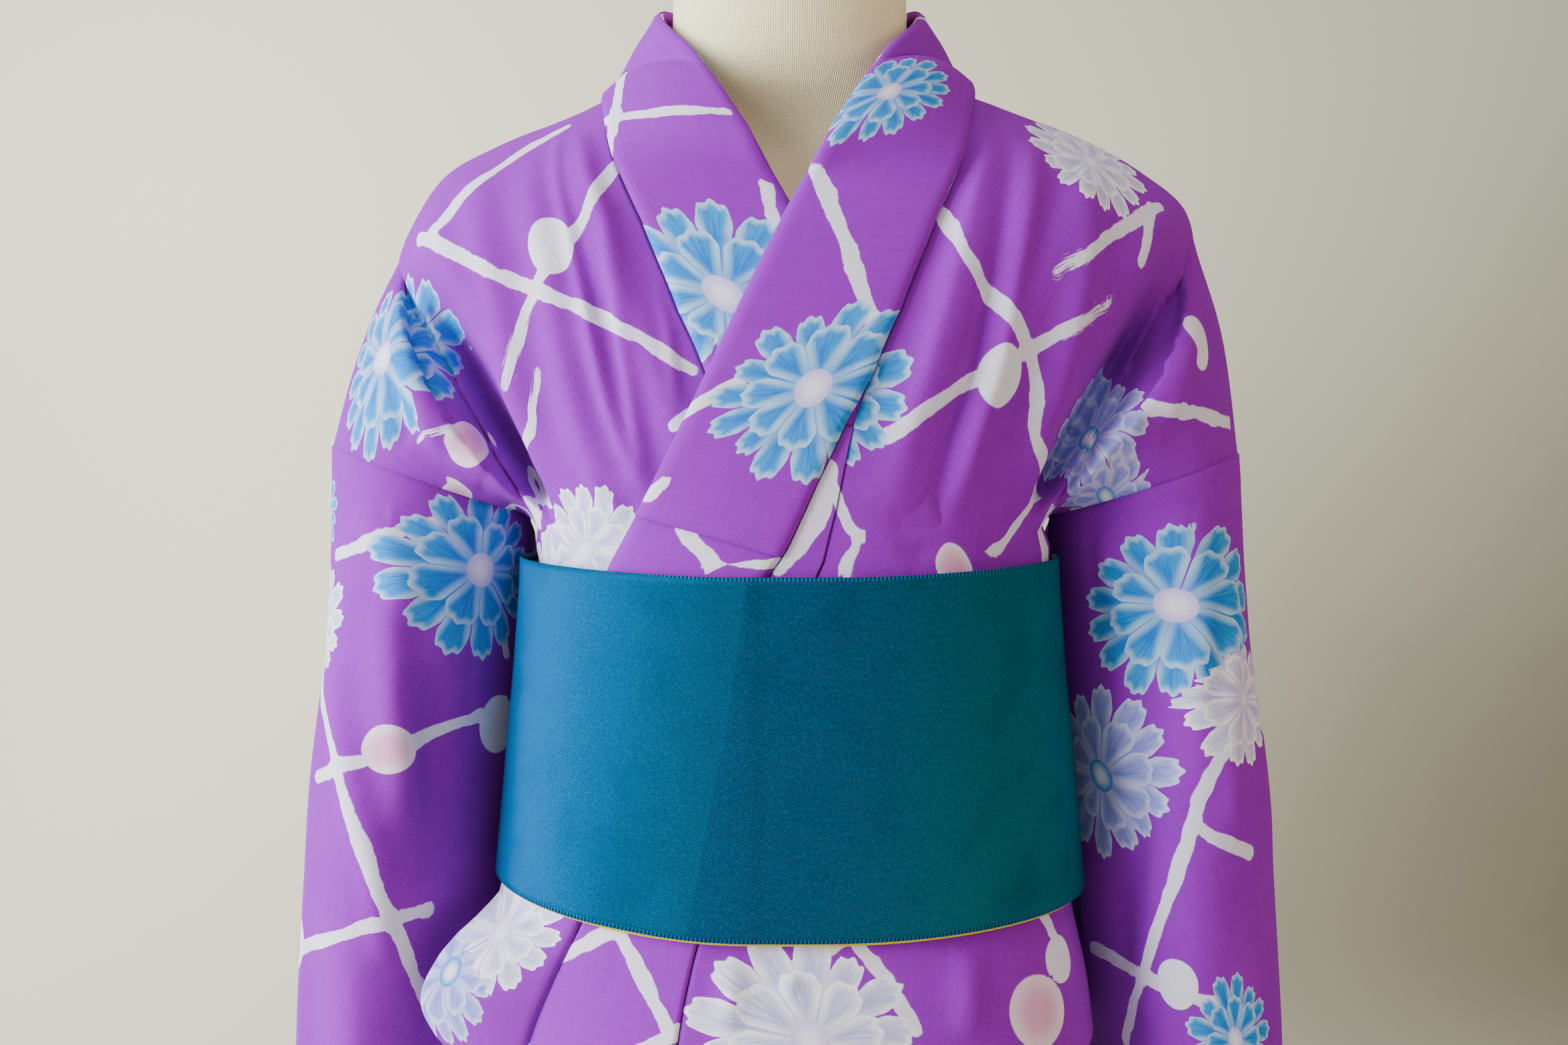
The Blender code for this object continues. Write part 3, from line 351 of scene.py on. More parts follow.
def clothMap(points, flip=1.0, anchor=0):  # how far across and down the cloth each point lies, in metres
    rows, columns = points.shape[:2]
    across = np.diff(points, axis=1)
    lengths = np.linalg.norm(across, axis=2)
    tangents = across / np.maximum(lengths, 1e-9)[:, :, None]
    tangents = np.concatenate([tangents, tangents[:, -1:]], axis=1)
    u = np.zeros((rows, columns))
    v = np.zeros((rows, columns))
    u[:, 1:] = np.cumsum(lengths, axis=1)
    u -= u[:, anchor:anchor + 1]
    drift = 0.0
    for i in range(1, rows):
        down = points[i] - points[i - 1]
        skew = np.sum(down * tangents[i - 1], axis=1)
        v[i] = v[i - 1] + np.sqrt(np.maximum(np.sum(down * down, axis=1) - skew ** 2, 0.0))
        drift += skew[anchor]
        u[i] += drift
    u -= u[0, 0]
    return np.stack([u * flip, -v], axis=2)


def unrolled(points, uv, pinned):  # eases the map until lengths on it match lengths on the cloth
    rows, columns = points.shape[:2]
    eased = uv.copy()
    for step, count in weave["levels"]:
        ri = np.unique(np.append(np.arange(0, rows, step), rows - 1))
        ci = np.unique(np.append(np.arange(0, columns, step), columns - 1))
        spots = points[np.ix_(ri, ci)]
        flat = eased[np.ix_(ri, ci)].copy()
        fixed = flat[0].copy()
        pairs = []
        for di, dj in ((0, 1), (1, 0), (1, 1), (1, -1)):
            a = (slice(0, len(ri) - di), slice(max(0, -dj), len(ci) - max(0, dj)))
            b = (slice(di, len(ri)), slice(max(0, dj), len(ci) + min(0, dj)))
            pairs.append((a, b, np.linalg.norm(spots[b] - spots[a], axis=2)))
        weight = np.zeros(flat.shape[:2])
        for a, b, rest in pairs:
            weight[a] += 1
            weight[b] += 1
        for turn in range(count):
            shift = np.zeros_like(flat)
            for a, b, rest in pairs:
                gap = flat[b] - flat[a]
                length = np.maximum(np.linalg.norm(gap, axis=2), 1e-9)
                move = gap * ((length - rest) / length * 0.5)[:, :, None]
                shift[a] += move
                shift[b] -= move
            flat += shift / weight[:, :, None] * weave["pull"]
            if pinned:
                flat[0] = fixed
        moved = flat - eased[np.ix_(ri, ci)]
        for ends, size in ((ci, columns), (ri, rows)):  # spreads the moves over the columns, then the rows
            moved = np.stack([
                [np.interp(np.arange(size), ends, line) for line in moved[:, :, k]] for k in (0, 1)
            ], axis=2).transpose(1, 0, 2)
        eased = eased + moved
    return eased


def normalsOf(points):
    normals = np.cross(np.gradient(points, axis=0), np.gradient(points, axis=1))
    normals /= np.maximum(np.linalg.norm(normals, axis=2), 1e-12)[:, :, None]
    return normals


# folds pressed into the cloth, in millimetres: path, width, height, then how much sharper one side is
creases = {
    "bodyLeft": [
        ([(111, -61), (119, -103), (129, -135), (137, -159), (143, -185), (154, -226),
         (144, -242)], 6, -2.2, 1.2),
        ([(123, -59), (132, -101), (141, -130), (151, -158), (157, -187), (164, -217)], 7, 2.6, 1),
        ([(93, -60), (105, -115), (113, -155), (120, -198), (136, -237)], 10, 2.8, 1),
        ([(152, -65), (172, -104), (185, -133), (197, -174), (210, -213)], 12, 3.6, 1),
        ([(268, -54), (280, -94), (287, -125), (272, -143)], 9, 4, 1.3),
        ([(225, -33), (250, -47), (266, -91), (274, -122)], 6, 2.6, 1),
        ([(34, -409), (32, -427), (28, -442)], 6, 1.8, 1),
        ([(59, -416), (57, -426)], 3, 1.4, 1),
        ([(128, -396), (132, -421), (132, -439)], 8, 2.2, 1),
    ],
    "bodyRight": [
        ([(-120, -49), (-137, -105), (-150, -136), (-160, -157), (-171, -181), (-177, -198),
         (-181, -214)], 4.5, 2.2, 1.6),
        ([(-110, -60), (-121, -117), (-136, -147), (-148, -166), (-160, -186), (-173, -205),
         (-182, -218)], 4, 2, 0.7),
        ([(-137, -57), (-157, -110), (-176, -145), (-191, -177), (-197, -201), (-196, -219)], 10, 3, 1),
        ([(-201, -191), (-199, -209), (-195, -222)], 3.5, 1.4, 1.3),
        ([(-218, -199), (-209, -214), (-201, -226)], 3.5, 1.2, 1),
        ([(-166, -50), (-188, -99), (-207, -135), (-225, -168), (-242, -200)], 12, 3.4, 1),
        ([(-112, -148), (-125, -176), (-143, -202)], 3, 1.2, 1),
        ([(-246, -22), (-266, -60), (-282, -92), (-290, -125), (-280, -157)], 8, 3.4, 1.2),
        ([(-286, -67), (-300, -96), (-298, -128)], 6, -2.6, 1),
    ],
    "sleeveLeft": [
        ([(-67, 4), (-77, -41), (-97, -85), (-111, -130)], 11, 4, 1.1),
        ([(-116, -62), (-130, -105), (-161, -146), (-195, -186)], 10, -3.4, 1),
        ([(-52, -12), (-66, -62), (-88, -106), (-103, -150)], 8, 3, 1),
        ([(-101, 10), (-107, -26), (-99, -52)], 6, 2, 1),
    ],
    "sleeveRight": [
        ([(70, -24), (77, -56), (89, -86), (104, -114), (113, -143)], 10, 4, 1.2),
        ([(101, -63), (107, -95), (125, -123), (138, -159)], 12, -3.4, 1),
        ([(49, 1), (68, -25), (85, -35)], 8, 2.4, 1),
        ([(49, -82), (78, -123), (108, -161), (133, -202)], 9, 3.4, 1),
    ],
}


def metres(value):  # a number or nested rows of numbers, from millimetres
    return value / 1000 if isinstance(value, (int, float)) else tuple(metres(entry) for entry in value)


def creaseLift(uv, folds):  # ridges along the listed paths
    total = np.zeros(uv.shape[:2])
    for path, width, height, sharp in folds:
        path, width, height = metres((path, width, height))
        best = np.full(uv.shape[:2], 9.0)
        signed = np.zeros(uv.shape[:2])
        place = np.zeros(uv.shape[:2])
        for k in range(len(path) - 1):
            a, b = np.array(path[k]), np.array(path[k + 1])
            line = b - a
            t = np.clip(np.sum((uv - a) * line, axis=2) / np.dot(line, line), 0.0, 1.0)
            gap = uv - (a + t[:, :, None] * line)
            distance = np.linalg.norm(gap, axis=2)
            nearer = distance < best
            cross = line[0] * gap[:, :, 1] - line[1] * gap[:, :, 0]
            best = np.where(nearer, distance, best)
            signed = np.where(nearer, np.sign(cross) * distance, signed)
            place = np.where(nearer, (k + t) / (len(path) - 1), place)
        fade = np.sin(np.pi * np.clip(place, 0.0, 1.0)) ** 0.6
        wide = np.where(signed > 0, width / sharp, width)
        total += weave["creaseGain"] * height * fade * np.exp(-((signed / wide) ** 2))
    return total


def ripple(points, size, seed):  # a low uneven lie, so that no panel is perfectly smooth
    flat = points.reshape(-1, 3)
    shift = Vector((seed * 3.7, seed * 1.9, seed * 2.3))
    broad, fine = (
        np.array([noise.noise(Vector(p) * weave["rippleScale"] * scale + shift) for p in flat])
        for scale in (1.0, weave["fineScale"])
    )
    return size * (broad + weave["fineShare"] * fine).reshape(points.shape[:2])


def borderMask(uv):  # 0 at a grid's top and sides and 1 inside
    mask = np.ones(uv.shape[:2])
    for border in (uv[:1], uv[:, :1], uv[:, -1:]):
        mask *= np.clip(np.linalg.norm(uv - border, axis=2) / weave["seamClear"], 0.0, 1.0)
    return mask * mask * (3 - 2 * mask)


# the print: brushed lattice lines, flowers and dots, laid out on each piece's own cloth.
# a piece's own tables are in millimetres: boxes that the scattered print stays clear of;
# motifs by kind (blue, white or lavender flower, white dot, pink dot), place, radius and turn;
# strokes by width, dryness at each end and path
prints = {
    "strokeWidth": 0.0062, "strokeStep": 0.006, "strokeNoise": 0.00022, "uneven": 0.13,
    "angles": (22.0, -64.0), "turn": 7, "lineGap": 0.112, "lineShift": 0.02, "lineLength": (0.12, 0.42),
    "bow": 0.012, "breaks": (0.0, 0.0, 0.05, 0.09), "beyond": 0.05, "strokeClear": 0.004,
    "dryStart": 0.03, "dryEnd": 0.045, "farGap": 0.05,
    "motifGap": 0.135, "motifShift": 0.04, "motifClear": 0.012, "motifKinds": (0, 0, 1, 2, 3, 4),
    "flowerRadius": (0.036, 0.050), "dotRadius": 0.0125, "dotSizes": (0.9, 1.3),
    "bodyLeft": {
        "seed": 11, "clear": [((-30, -620), (360, 10))],
        "motifs": [
            (0, 71, -218, 48.8, 0.2), (0, 76, -217, 48.7, 0.2), (1, 65, -446, 52.75, 0.2),
             (2, 252, -152, 38.94, 0.7), (1, 157, -50, 38.35, 2.2), (3, 155, -163, 13, 0),
             (3, 279, -64, 12.6, 0), (4, 269, -160, 11.1, 0), (4, 169, -423, 17.5, 0),
             (3, 184, -398, 11.5, 0), (4, 165, -243, 9.9, 0),
        ],
        "strokes": [
            (6.5, 0, 0, [(80, -113), (91, -118), (121, -135), (161, -145), (180, -159), (193, -178),
             (232, -192)]),
            (5.5, 0, 0, [(232, -192), (213, -208), (204, -219), (194, -229), (183, -237)]),
            (6.5, 0, 0.9, [(115, -214), (130, -186), (151, -162), (170, -139), (193, -110),
             (196, -105)]),
            (6.5, 0.9, 0, [(158, -114), (169, -100), (177, -87), (188, -70), (202, -45)]),
            (6.5, 0, 0, [(277, -124), (287, -110), (299, -93), (312, -71), (329, -34)]),
            (6.5, 0, 0, [(48, -421), (52, -418), (56, -415), (60, -413), (64, -410), (68, -408),
             (73, -406), (83, -400)]),
            (6.5, 0, 0, [(83, -394), (88, -405), (91, -412), (97, -418), (101, -425), (106, -432),
             (110, -438)]),
            (6.5, 0, 0, [(164, -369), (172, -378), (176, -382), (179, -386), (183, -390), (186, -394)]),
            (4.8, 0, 0, [(111, -248), (123, -251), (131, -253), (138, -253)]),
            (6.5, 0, 0, [(197, -52), (197, -60), (198, -67), (198, -72), (200, -76), (201, -80)]),
        ],
    },
    "bodyRight": {
        "seed": 12, "clear": [((-360, -620), (30, 10))],
        "motifs": [
            (0, -282, -57, 51.8, 0.9), (1, -223, -226, 34.57, 0.4), (3, -151, -110, 12.6, 0),
             (4, -279, -137, 12.3, 0),
        ],
        "strokes": [
            (6.5, 0, 0.2, [(-217, -44), (-185, -97), (-160, -133), (-139, -168), (-128, -197)]),
            (6.5, 0, 0, [(-116, -43), (-135, -48), (-155, -55), (-177, -58), (-199, -59), (-206, -57)]),
            (6.5, 0, 0.7, [(-92, -88), (-103, -94), (-130, -110), (-159, -116), (-186, -124),
             (-210, -138)]),
            (4.9, 0.6, 0, [(-194, -144), (-205, -153), (-218, -162), (-252, -163), (-255, -182),
             (-251, -185), (-242, -193)]),
            (4.6, 0, 0.5, [(-299, -111), (-292, -115), (-286, -121), (-281, -126)]),
            (6.5, 0, 0, [(-152, -209), (-148, -210), (-136, -213)]),
        ],
    },
    "okumiLeft": {
        "seed": 13, "clear": [((-144, -285), (-69, -232)), ((-29, -64), (0, -1))],
        "strokes": [
            (6.5, 0, 0, [(-136, -249), (-126, -243), (-122, -240), (-117, -238), (-113, -235),
             (-109, -233), (-99, -227)]),
            (6.5, 0, 0, [(-109, -224), (-102, -234), (-94, -245), (-86, -256), (-78, -268),
             (-73, -276)]),
            (12, 0, 0, [(-30, -65), (-23, -54), (-15, -43), (-11, -30), (-9, -20)]),
            (6.5, 0, 0, [(-5, -29), (-3, -33), (2, -43)]),
        ],
    },
    "okumiRight": {"seed": 14},
    "skirtBodyLeft": {"seed": 15},
    "skirtBodyRight": {"seed": 16},
    "skirtOkumiLeft": {"seed": 17},
    "skirtOkumiRight": {"seed": 18},
    "sleeveLeft": {
        "seed": 19, "clear": [((-246, -252), (-26, 33))],
        "motifs": [
            (0, -88, -39, 48.14, 0.6), (2, -158, -99, 46.7, 1.4), (1, -73, -93, 35.87, 0.3),
             (0, -139, -240, 32.33, 0.2), (3, -162, -202, 11.7, 0),
        ],
        "strokes": [
            (6.5, 0, 0, [(-73, -94), (-108, -123), (-136, -155), (-174, -186), (-217, -215)]),
            (6.5, 0, 0, [(-120, -138), (-118, -142), (-116, -146), (-113, -150), (-108, -154),
             (-104, -158), (-98, -163)]),
            (6.5, 0, 0.2, [(-219, -168), (-193, -186), (-171, -200), (-153, -213), (-128, -232)]),
        ],
    },
    "sleeveRight": {
        "seed": 20, "clear": [((20, -260), (194, 33))],
        "motifs": [
            (0, 101, -9, 44.6, 2), (1, 18, -67, 36.7, 0.3), (0, 7, -2, 28.32, 0.2),
             (3, 54, -221, 13.3, 0), (3, 147, -74, 15.1, 0), (4, 94, -109, 11.6, 0),
        ],
        "strokes": [
            (6.5, 0, 0, [(33, -26), (49, -21), (57, -16), (63, -10), (67, -4), (72, 2)]),
            (6.5, 0, 0, [(58, -136), (82, -121), (96, -109), (108, -96), (126, -80), (132, -75)]),
            (6.5, 0, 0, [(65, -221), (97, -203), (115, -189), (126, -181), (139, -173), (143, -171)]),
            (6.5, 0, 0, [(34, -89), (70, -119), (95, -147), (118, -173), (148, -199), (158, -206),
             (168, -213)]),
            (6.5, 0, 0, [(146, -72), (147, -67), (147, -61)]),
            (6.5, 0, 0, [(117, -20), (121, -23), (125, -27), (129, -31), (133, -35), (137, -39)]),
        ],
    },
    "neckCollar": {
        "seed": 21, "clear": [((0, -289), (70, -272)), ((0, -90), (66, -17))],
        "motifs": [
            (1, 43, -70, 42.01, 0.8), (2, 57, -48, 36.7, 1.3),
        ],
        "strokes": [
            (6.5, 0, 0.3, [(72, -44), (67, -34), (64, -30), (63, -25)]),
            (6.5, 0, 0, [(48, -295), (40, -286), (35, -282), (30, -278), (25, -273)]),
        ],
    },
    "overCollar": {
        "seed": 22, "clear": [((0, -894), (72, -545)), ((0, -329), (71, 0))],
        "motifs": [
            (0, 49, -237, 36.46, 0.3), (0, 22, -780, 52, 1.1), (0, 22, -75, 48.5, 0.2),
        ],
        "strokes": [
            (6.5, 0, 0, [(21, -616), (13, -656), (8, -671), (3, -686), (0, -691), (-5, -702)]),
            (6.5, 0, 0, [(-5, -672), (6, -675), (23, -680), (39, -680), (53, -679), (64, -676)]),
            (6.5, 0.2, 0, [(69, -197), (51, -171), (36, -150), (24, -131), (12, -112), (8, -108)]),
            (6.5, 0, 0, [(69, -13), (67, -17), (65, -22)]),
            (6.5, 0, 0, [(77, -53), (69, -62), (65, -67), (60, -73), (55, -78), (50, -83)]),
            (6.5, 0, 0, [(64, -719), (62, -725), (60, -732), (59, -737), (58, -743)]),
        ],
    },
}


def inBoxes(u, v, boxes, margin):
    return any(
        low[0] - margin < u < high[0] + margin and low[1] - margin < v < high[1] + margin
        for low, high in boxes
    )


def fillStrokes(box, layout):  # two families of broken lines over the cloth that no placed stroke covers
    random = np.random.RandomState(layout["seed"])
    low, high = np.array(box)
    middle, reach, gap = (low + high) / 2, float(np.linalg.norm(high - low)) / 2, prints["lineGap"]
    clear = metres(layout.get("clear", ()))
    strokes = []
    for angle in prints["angles"]:
        turn = math.radians(angle + random.uniform(-prints["turn"], prints["turn"]))
        ahead = np.array([math.cos(turn), math.sin(turn)])
        beside = np.array([-math.sin(turn), math.cos(turn)])
        for k in range(-int(reach / gap) - 1, int(reach / gap) + 2):
            base = middle + beside * (k * gap + random.uniform(-prints["lineShift"], prints["lineShift"]))
            place = -reach
            while place < reach:
                length = random.uniform(*prints["lineLength"])
                bow = random.uniform(-prints["bow"], prints["bow"])
                points = [
                    tuple(base + ahead * (place + length * share) + beside * bow * math.sin(math.pi * share))
                    for share in np.linspace(0, 1, 5)
                ]
                place += length + random.choice(prints["breaks"])
                kept = []
                for point in points:
                    inside = inBoxes(*point, [box], prints["beyond"])
                    if inside and not inBoxes(*point, clear, prints["strokeClear"]):
                        kept.append(point)
                    else:
                        if len(kept) > 1:
                            strokes.append((prints["strokeWidth"], 0.3, 0.6, kept))
                        kept = []
                if len(kept) > 1:
                    width = prints["strokeWidth"] * random.uniform(0.85, 1.1)
                    strokes.append((width, 0.3, random.choice([0.3, 1.0]), kept))
    return strokes


def fillMotifs(box, layout):  # the placed motifs, and more of them wherever there is room
    random = np.random.RandomState(layout["seed"] + 100)
    made = [(kind, *metres(place), turn) for kind, *place, turn in layout.get("motifs", ())]
    clear, gap, shift = metres(layout.get("clear", ())), prints["motifGap"], prints["motifShift"]
    (left, bottom), (right, top) = box
    for u in np.arange(left - gap / 2, right + gap, gap):
        for v in np.arange(bottom - gap / 2, top + gap, gap):
            x, y = u + random.uniform(-shift, shift), v + random.uniform(-shift, shift)
            kind = random.choice(prints["motifKinds"])
            if kind < 3:
                radius = random.uniform(*prints["flowerRadius"])
            else:
                radius = prints["dotRadius"] * random.uniform(*prints["dotSizes"])
            turn = random.uniform(0, 6.28)
            room = radius + prints["motifClear"]
            if inBoxes(x, y, clear, radius):
                continue
            if all(math.hypot(x - m[1], y - m[2]) > room + m[3] for m in made):
                made.append((kind, x, y, radius, turn))
    return made


def layPrint(made, uvs):  # gives each point its nearest stroke and each face its nearest motif
    layout = prints.get(made.name)
    if layout is None:
        return
    uvs = np.array(uvs)
    box = tuple(uvs.min(axis=0)), tuple(uvs.max(axis=0))
    random = np.random.RandomState(layout["seed"] + 50)
    gaps = np.full(len(uvs), prints["farGap"])
    stroke = np.zeros((len(uvs), 3))
    strokes = [(metres(width), *dryness, metres(path)) for width, *dryness, path in layout.get("strokes", ())]
    for width, dryStart, dryEnd, path in strokes + fillStrokes(box, layout):
        length = sum(math.dist(a, b) for a, b in zip(path, path[1:]))
        count = max(2, int(length / prints["strokeStep"]))
        fine = np.array([[along(values, k / count) for values in zip(*path)] for k in range(count + 1)])
        fine += random.normal(0, prints["strokeNoise"], fine.shape)
        swell = prints["uneven"] * np.sin(np.arange(count + 1) * 0.9 + random.uniform(0, 6))
        halves = width / 2 * (1 + swell + random.uniform(-0.1, 0.1, count + 1))
        run = 0.0
        for k in range(count):
            a, line = fine[k], fine[k + 1] - fine[k]
            size = float(np.dot(line, line))
            t = np.clip(((uvs - a) @ line) / size, 0.0, 1.0)
            away = uvs - (a + t[:, None] * line)
            distance = np.linalg.norm(away, axis=1)
            value = distance - (halves[k] * (1 - t) + halves[k + 1] * t)
            nearer = value < gaps
            gaps = np.where(nearer, value, gaps)
            across = np.sign(line[0] * away[:, 1] - line[1] * away[:, 0]) * distance
            place = run + t * math.sqrt(size)
            atStart = dryStart * np.clip(1 - place / prints["dryStart"], 0, 1)
            atEnd = dryEnd * np.clip(1 - (length - place) / prints["dryEnd"], 0, 1)
            stroke[nearer] = np.stack([across, place, np.maximum(atStart, atEnd)], axis=1)[nearer]
            run += math.sqrt(size)
    mesh = made.data

    def attribute(name, values, domain, kind="FLOAT_VECTOR", field="vector"):
        layer = mesh.attributes.new(name, kind, domain)
        layer.data.foreach_set(field, values.astype(np.float32).ravel())

    attribute("strokeGap", gaps, "POINT", "FLOAT", "value")
    attribute("stroke", stroke, "POINT")
    motifs = fillMotifs(box, layout)
    loops = np.zeros(len(mesh.loops) * 2, dtype=np.float32)
    mesh.uv_layers["cloth"].data.foreach_get("uv", loops)
    centres = loops.reshape(-1, 4, 2).mean(axis=1)
    spots = np.array([(m[1], m[2]) for m in motifs])
    radii = np.array([m[3] for m in motifs])
    nearest = (np.linalg.norm(centres[:, None] - spots[None], axis=2) - radii[None]).argmin(axis=1)
    looks = np.array([(m[0], m[4], k * 7.31 % 5) for k, m in enumerate(motifs)])
    attribute("motifPlace", np.concatenate([spots, radii[:, None]], axis=1)[nearest], "FACE")
    attribute("motifLook", looks[nearest], "FACE")


def grid(points, uv, closed=False):
    return {"points": np.array(points, dtype=float), "uv": np.array(uv, dtype=float), "closed": closed}


def clothObject(name, grids, thickness=robe["shell"]):
    verts, places, faces, loops, seen = [], [], [], [], {}
    for part in grids:
        points, uv = part["points"], part["uv"]
        rows, columns = points.shape[:2]
        ids = np.zeros((rows, columns), dtype=int)
        for i in range(rows):
            for j in range(columns):
                key = tuple(np.round(points[i, j], 5))
                if key not in seen:
                    seen[key] = len(verts)
                    verts.append(tuple(points[i, j]))
                    places.append(tuple(uv[i, j]))
                ids[i, j] = seen[key]
        last = columns if part["closed"] else columns - 1
        for i in range(rows - 1):
            for j in range(last):
                n = (j + 1) % columns
                corners = (ids[i, j], ids[i + 1, j], ids[i + 1, n], ids[i, n])
                if len(set(corners)) < 4:
                    continue
                faces.append(corners)
                ends = [uv[r, n] if n else uv[r, j] + (uv[r, j] - uv[r, j - 1]) for r in (i + 1, i)]
                loops += [tuple(place) for place in (uv[i, j], uv[i + 1, j], *ends)]
    mesh = bpy.data.meshes.new(name)
    mesh.from_pydata(verts, [], faces)
    layer = mesh.uv_layers.new(name="cloth")
    layer.data.foreach_set("uv", np.array(loops, dtype=np.float32).ravel())
    made = placed(name, mesh)
    facing = sum(
        face.normal.dot(face.center - Vector((0, 0, face.center.z))) * face.area for face in mesh.polygons
    )
    if facing < 0:
        mesh.flip_normals()
    layPrint(made, places)
    mesh.shade_smooth()
    shell = made.modifiers.new("thickness", "SOLIDIFY")
    shell.thickness = thickness
    shell.offset = 1.0
    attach(made, root)
    return made


# body panels, back and front in one length
body = {
    "anchor": 50, "columns": 100, "neckColumns": 24, "chestRows": 92, "rowPower": 1.2,
    "ripple": 0.0012, "centreGap": 0.0004,
}


def bodyPanel(side):
    over = side > 0
    lifted = overLift if over else (lambda arc: 0.0)
    cs = np.linspace(0.0, 1.0, body["columns"])
    ss = np.linspace(0.0, 1.0, body["chestRows"]) ** body["rowPower"]
    front = [[frontPoint(side, c, s, lifted(seamArc(c)) * smooth(0.02, 0.30, s)) for c in cs] for s in ss]
    for step in lowerRows():
        start = read(robe["laps"], step[0], "okumiSeam") + robe["seam"] / 2
        ends = [(mix(start, robe["sideArc"], c), seamArc(c)) for c in cs]
        front.append([lowerPoint(side, arc, step, lifted(top), waistHeight(top)) for arc, top in ends])
    sideLift = lifted(robe["sideArc"])
    us = list(np.linspace(0.003, 1.0, body["neckColumns"], endpoint=False) * robe["neckU"])
    us += list(mix(robe["neckU"], robe["sleeveU"], cs))
    lifts = [sideLift * smooth(0.05, 0.2, u) for u in us]
    back = [[backPoint(side, u, s, lift * smooth(0.02, 0.30, s)) for u, lift in zip(us, lifts)] for s in ss]
    for step in lowerRows():
        total = halfRound("torso", step[0])
        arcs = [total - (total - robe["sideArc"]) * u / robe["sleeveU"] for u in us]
        top = waistHeight(robe["sideArc"])
        back.append([lowerPoint(side, arc, step, lift, top) for arc, lift in zip(arcs, lifts)])
    for row in back:
        row[0].x = side * body["centreGap"]
    name = "bodyLeft" if over else "bodyRight"
    front, back = np.array(front), np.array(back)
    frontUv, backUv = clothMap(front, side, body["anchor"]), clothMap(back, side)
    neckX = side * robe["shoulder"][side]["x"][0]
    frontUv[:, :, 0] += neckX
    backUv[:, :, 0] += neckX - backUv[0, body["neckColumns"], 0]
    backUv[:, :, 1] *= -1.0
    grids = []
    for points, uv, folds, sign in ((front, frontUv, creases[name], 1), (back, backUv, [], -1)):
        uv = unrolled(points, uv, True)
        lift = ripple(points, body["ripple"], side * 2 + sign) + creaseLift(uv, folds)
        lift *= borderMask(uv)
        outward = normalsOf(points)
        outward *= np.sign(np.sum(outward * points * np.array([1, 1, 0]), axis=2))[:, :, None]
        points = points + outward * lift[:, :, None]
        grids.append(grid(points, uv))
    return clothObject(name, grids)


def chestRow(side, s, lift, start, end, shares):  # the chest beyond a panel's inner edge
    edge = frontPoint(side, 0.0, s, lift)
    row = []
    for share in shares:
        x = side * edge.x - mix(start, end, share)
        row.append(Vector((side * x, -depthAt(x, edge.z) - lift, edge.z)))
    return row


okumi = {"chestRows": 24, "across": 26, "first": 0.74, "last": 0.995}


def okumiPanel(side):  # the overlap between the body's front edge and the collar
    over = side > 0
    lift = robe["overLayer"] if over else 0.0
    shares = np.linspace(1.0, 0.0, okumi["across"])
    rows = []
    for s in np.linspace(okumi["first"], okumi["last"], okumi["chestRows"]):
        height = frontPoint(side, 0.0, s).z
        rows.append(chestRow(side, s, lift, robe["seam"], lapGap(height) - robe["seam"], shares))
    for step in lowerRows():
        start = read(robe["laps"], step[0], "collarSeam") + robe["seam"] / 2
        end = read(robe["laps"], step[0], "okumiSeam") - robe["seam"] / 2
        out = lift + bagged(step, 0.0, over)
        row = [ringPoint("torso", step[0], mix(end, start, share), out) for share in shares]
        rows.append([mirrored(point, side) for point in row])
    points = np.array(rows)
    return clothObject("okumiLeft" if over else "okumiRight", [grid(points, clothMap(points, side))])


# collar and the strip sewn over it
neck = {
    "path": {
        "place": (0, 0.15, 0.3, 0.45, 0.6, 0.75, 0.9, 1.05, 1.2, 1.4, 1.6, 1.8, 2),
        "x": (-0.083, -0.064, -0.045, -0.028, -0.0105, 0.007, 0.025, 0.0455, 0.063, 0.0665, 0.055, 0.031, 0),
        "y": (0, 0, 0, 0, 0, -0.088, -0.078, -0.052, -0.016, 0.02, 0.052, 0.076, 0.085),
        "z": (1.116, 1.15, 1.188, 1.224, 1.261, 1.296, 1.328, 1.364, 1.39, 1.408, 1.416, 1.42, 1.421),
        "laid": (1, 1, 1, 1, 1, 0.6, 0, 0, 0, 0, 0, 0, 0),
        "roll": (0, 0, 0, 0, 0.001, 0.0035, 0.007, 0.009, 0.008, 0.005, 0.003, 0.002, 0.002),
    },
    "flare": {
        "height": (0.877, 0.890, 0.907, 0.925, 0.940),
        "x": (-0.1560, -0.1700, -0.1765, -0.1690, -0.1560),
        "y": (-0.0640, -0.0660, -0.0670, -0.0640, -0.0560),
    },
    "flareBow": 0.004, "across": 22, "rows": 150, "backGap": 0.0010,
    "topEnd": 0.055, "endSkew": 0.086, "skewRun": 0.3, "width": 0.070,
    "rollStart": 0.05, "rollEnd": 0.045, "under": 0.0008,
}


def collarSeam(side, place, lift):
    if place > 1.0:
        return mirrored(backTop(side, robe["neckU"] * (2.0 - place)) + Vector((0, 0, neck["backGap"])), side)
    edge = frontPoint(side, 0.0, 1.0 - place, lift)
    x = side * edge.x - robe["seam"] - lapGap(min(edge.z, 1.2))
    if edge.z < 1.25:
        edge.y = -depthAt(x, edge.z) - lift
    return Vector((side * x, edge.y, edge.z))


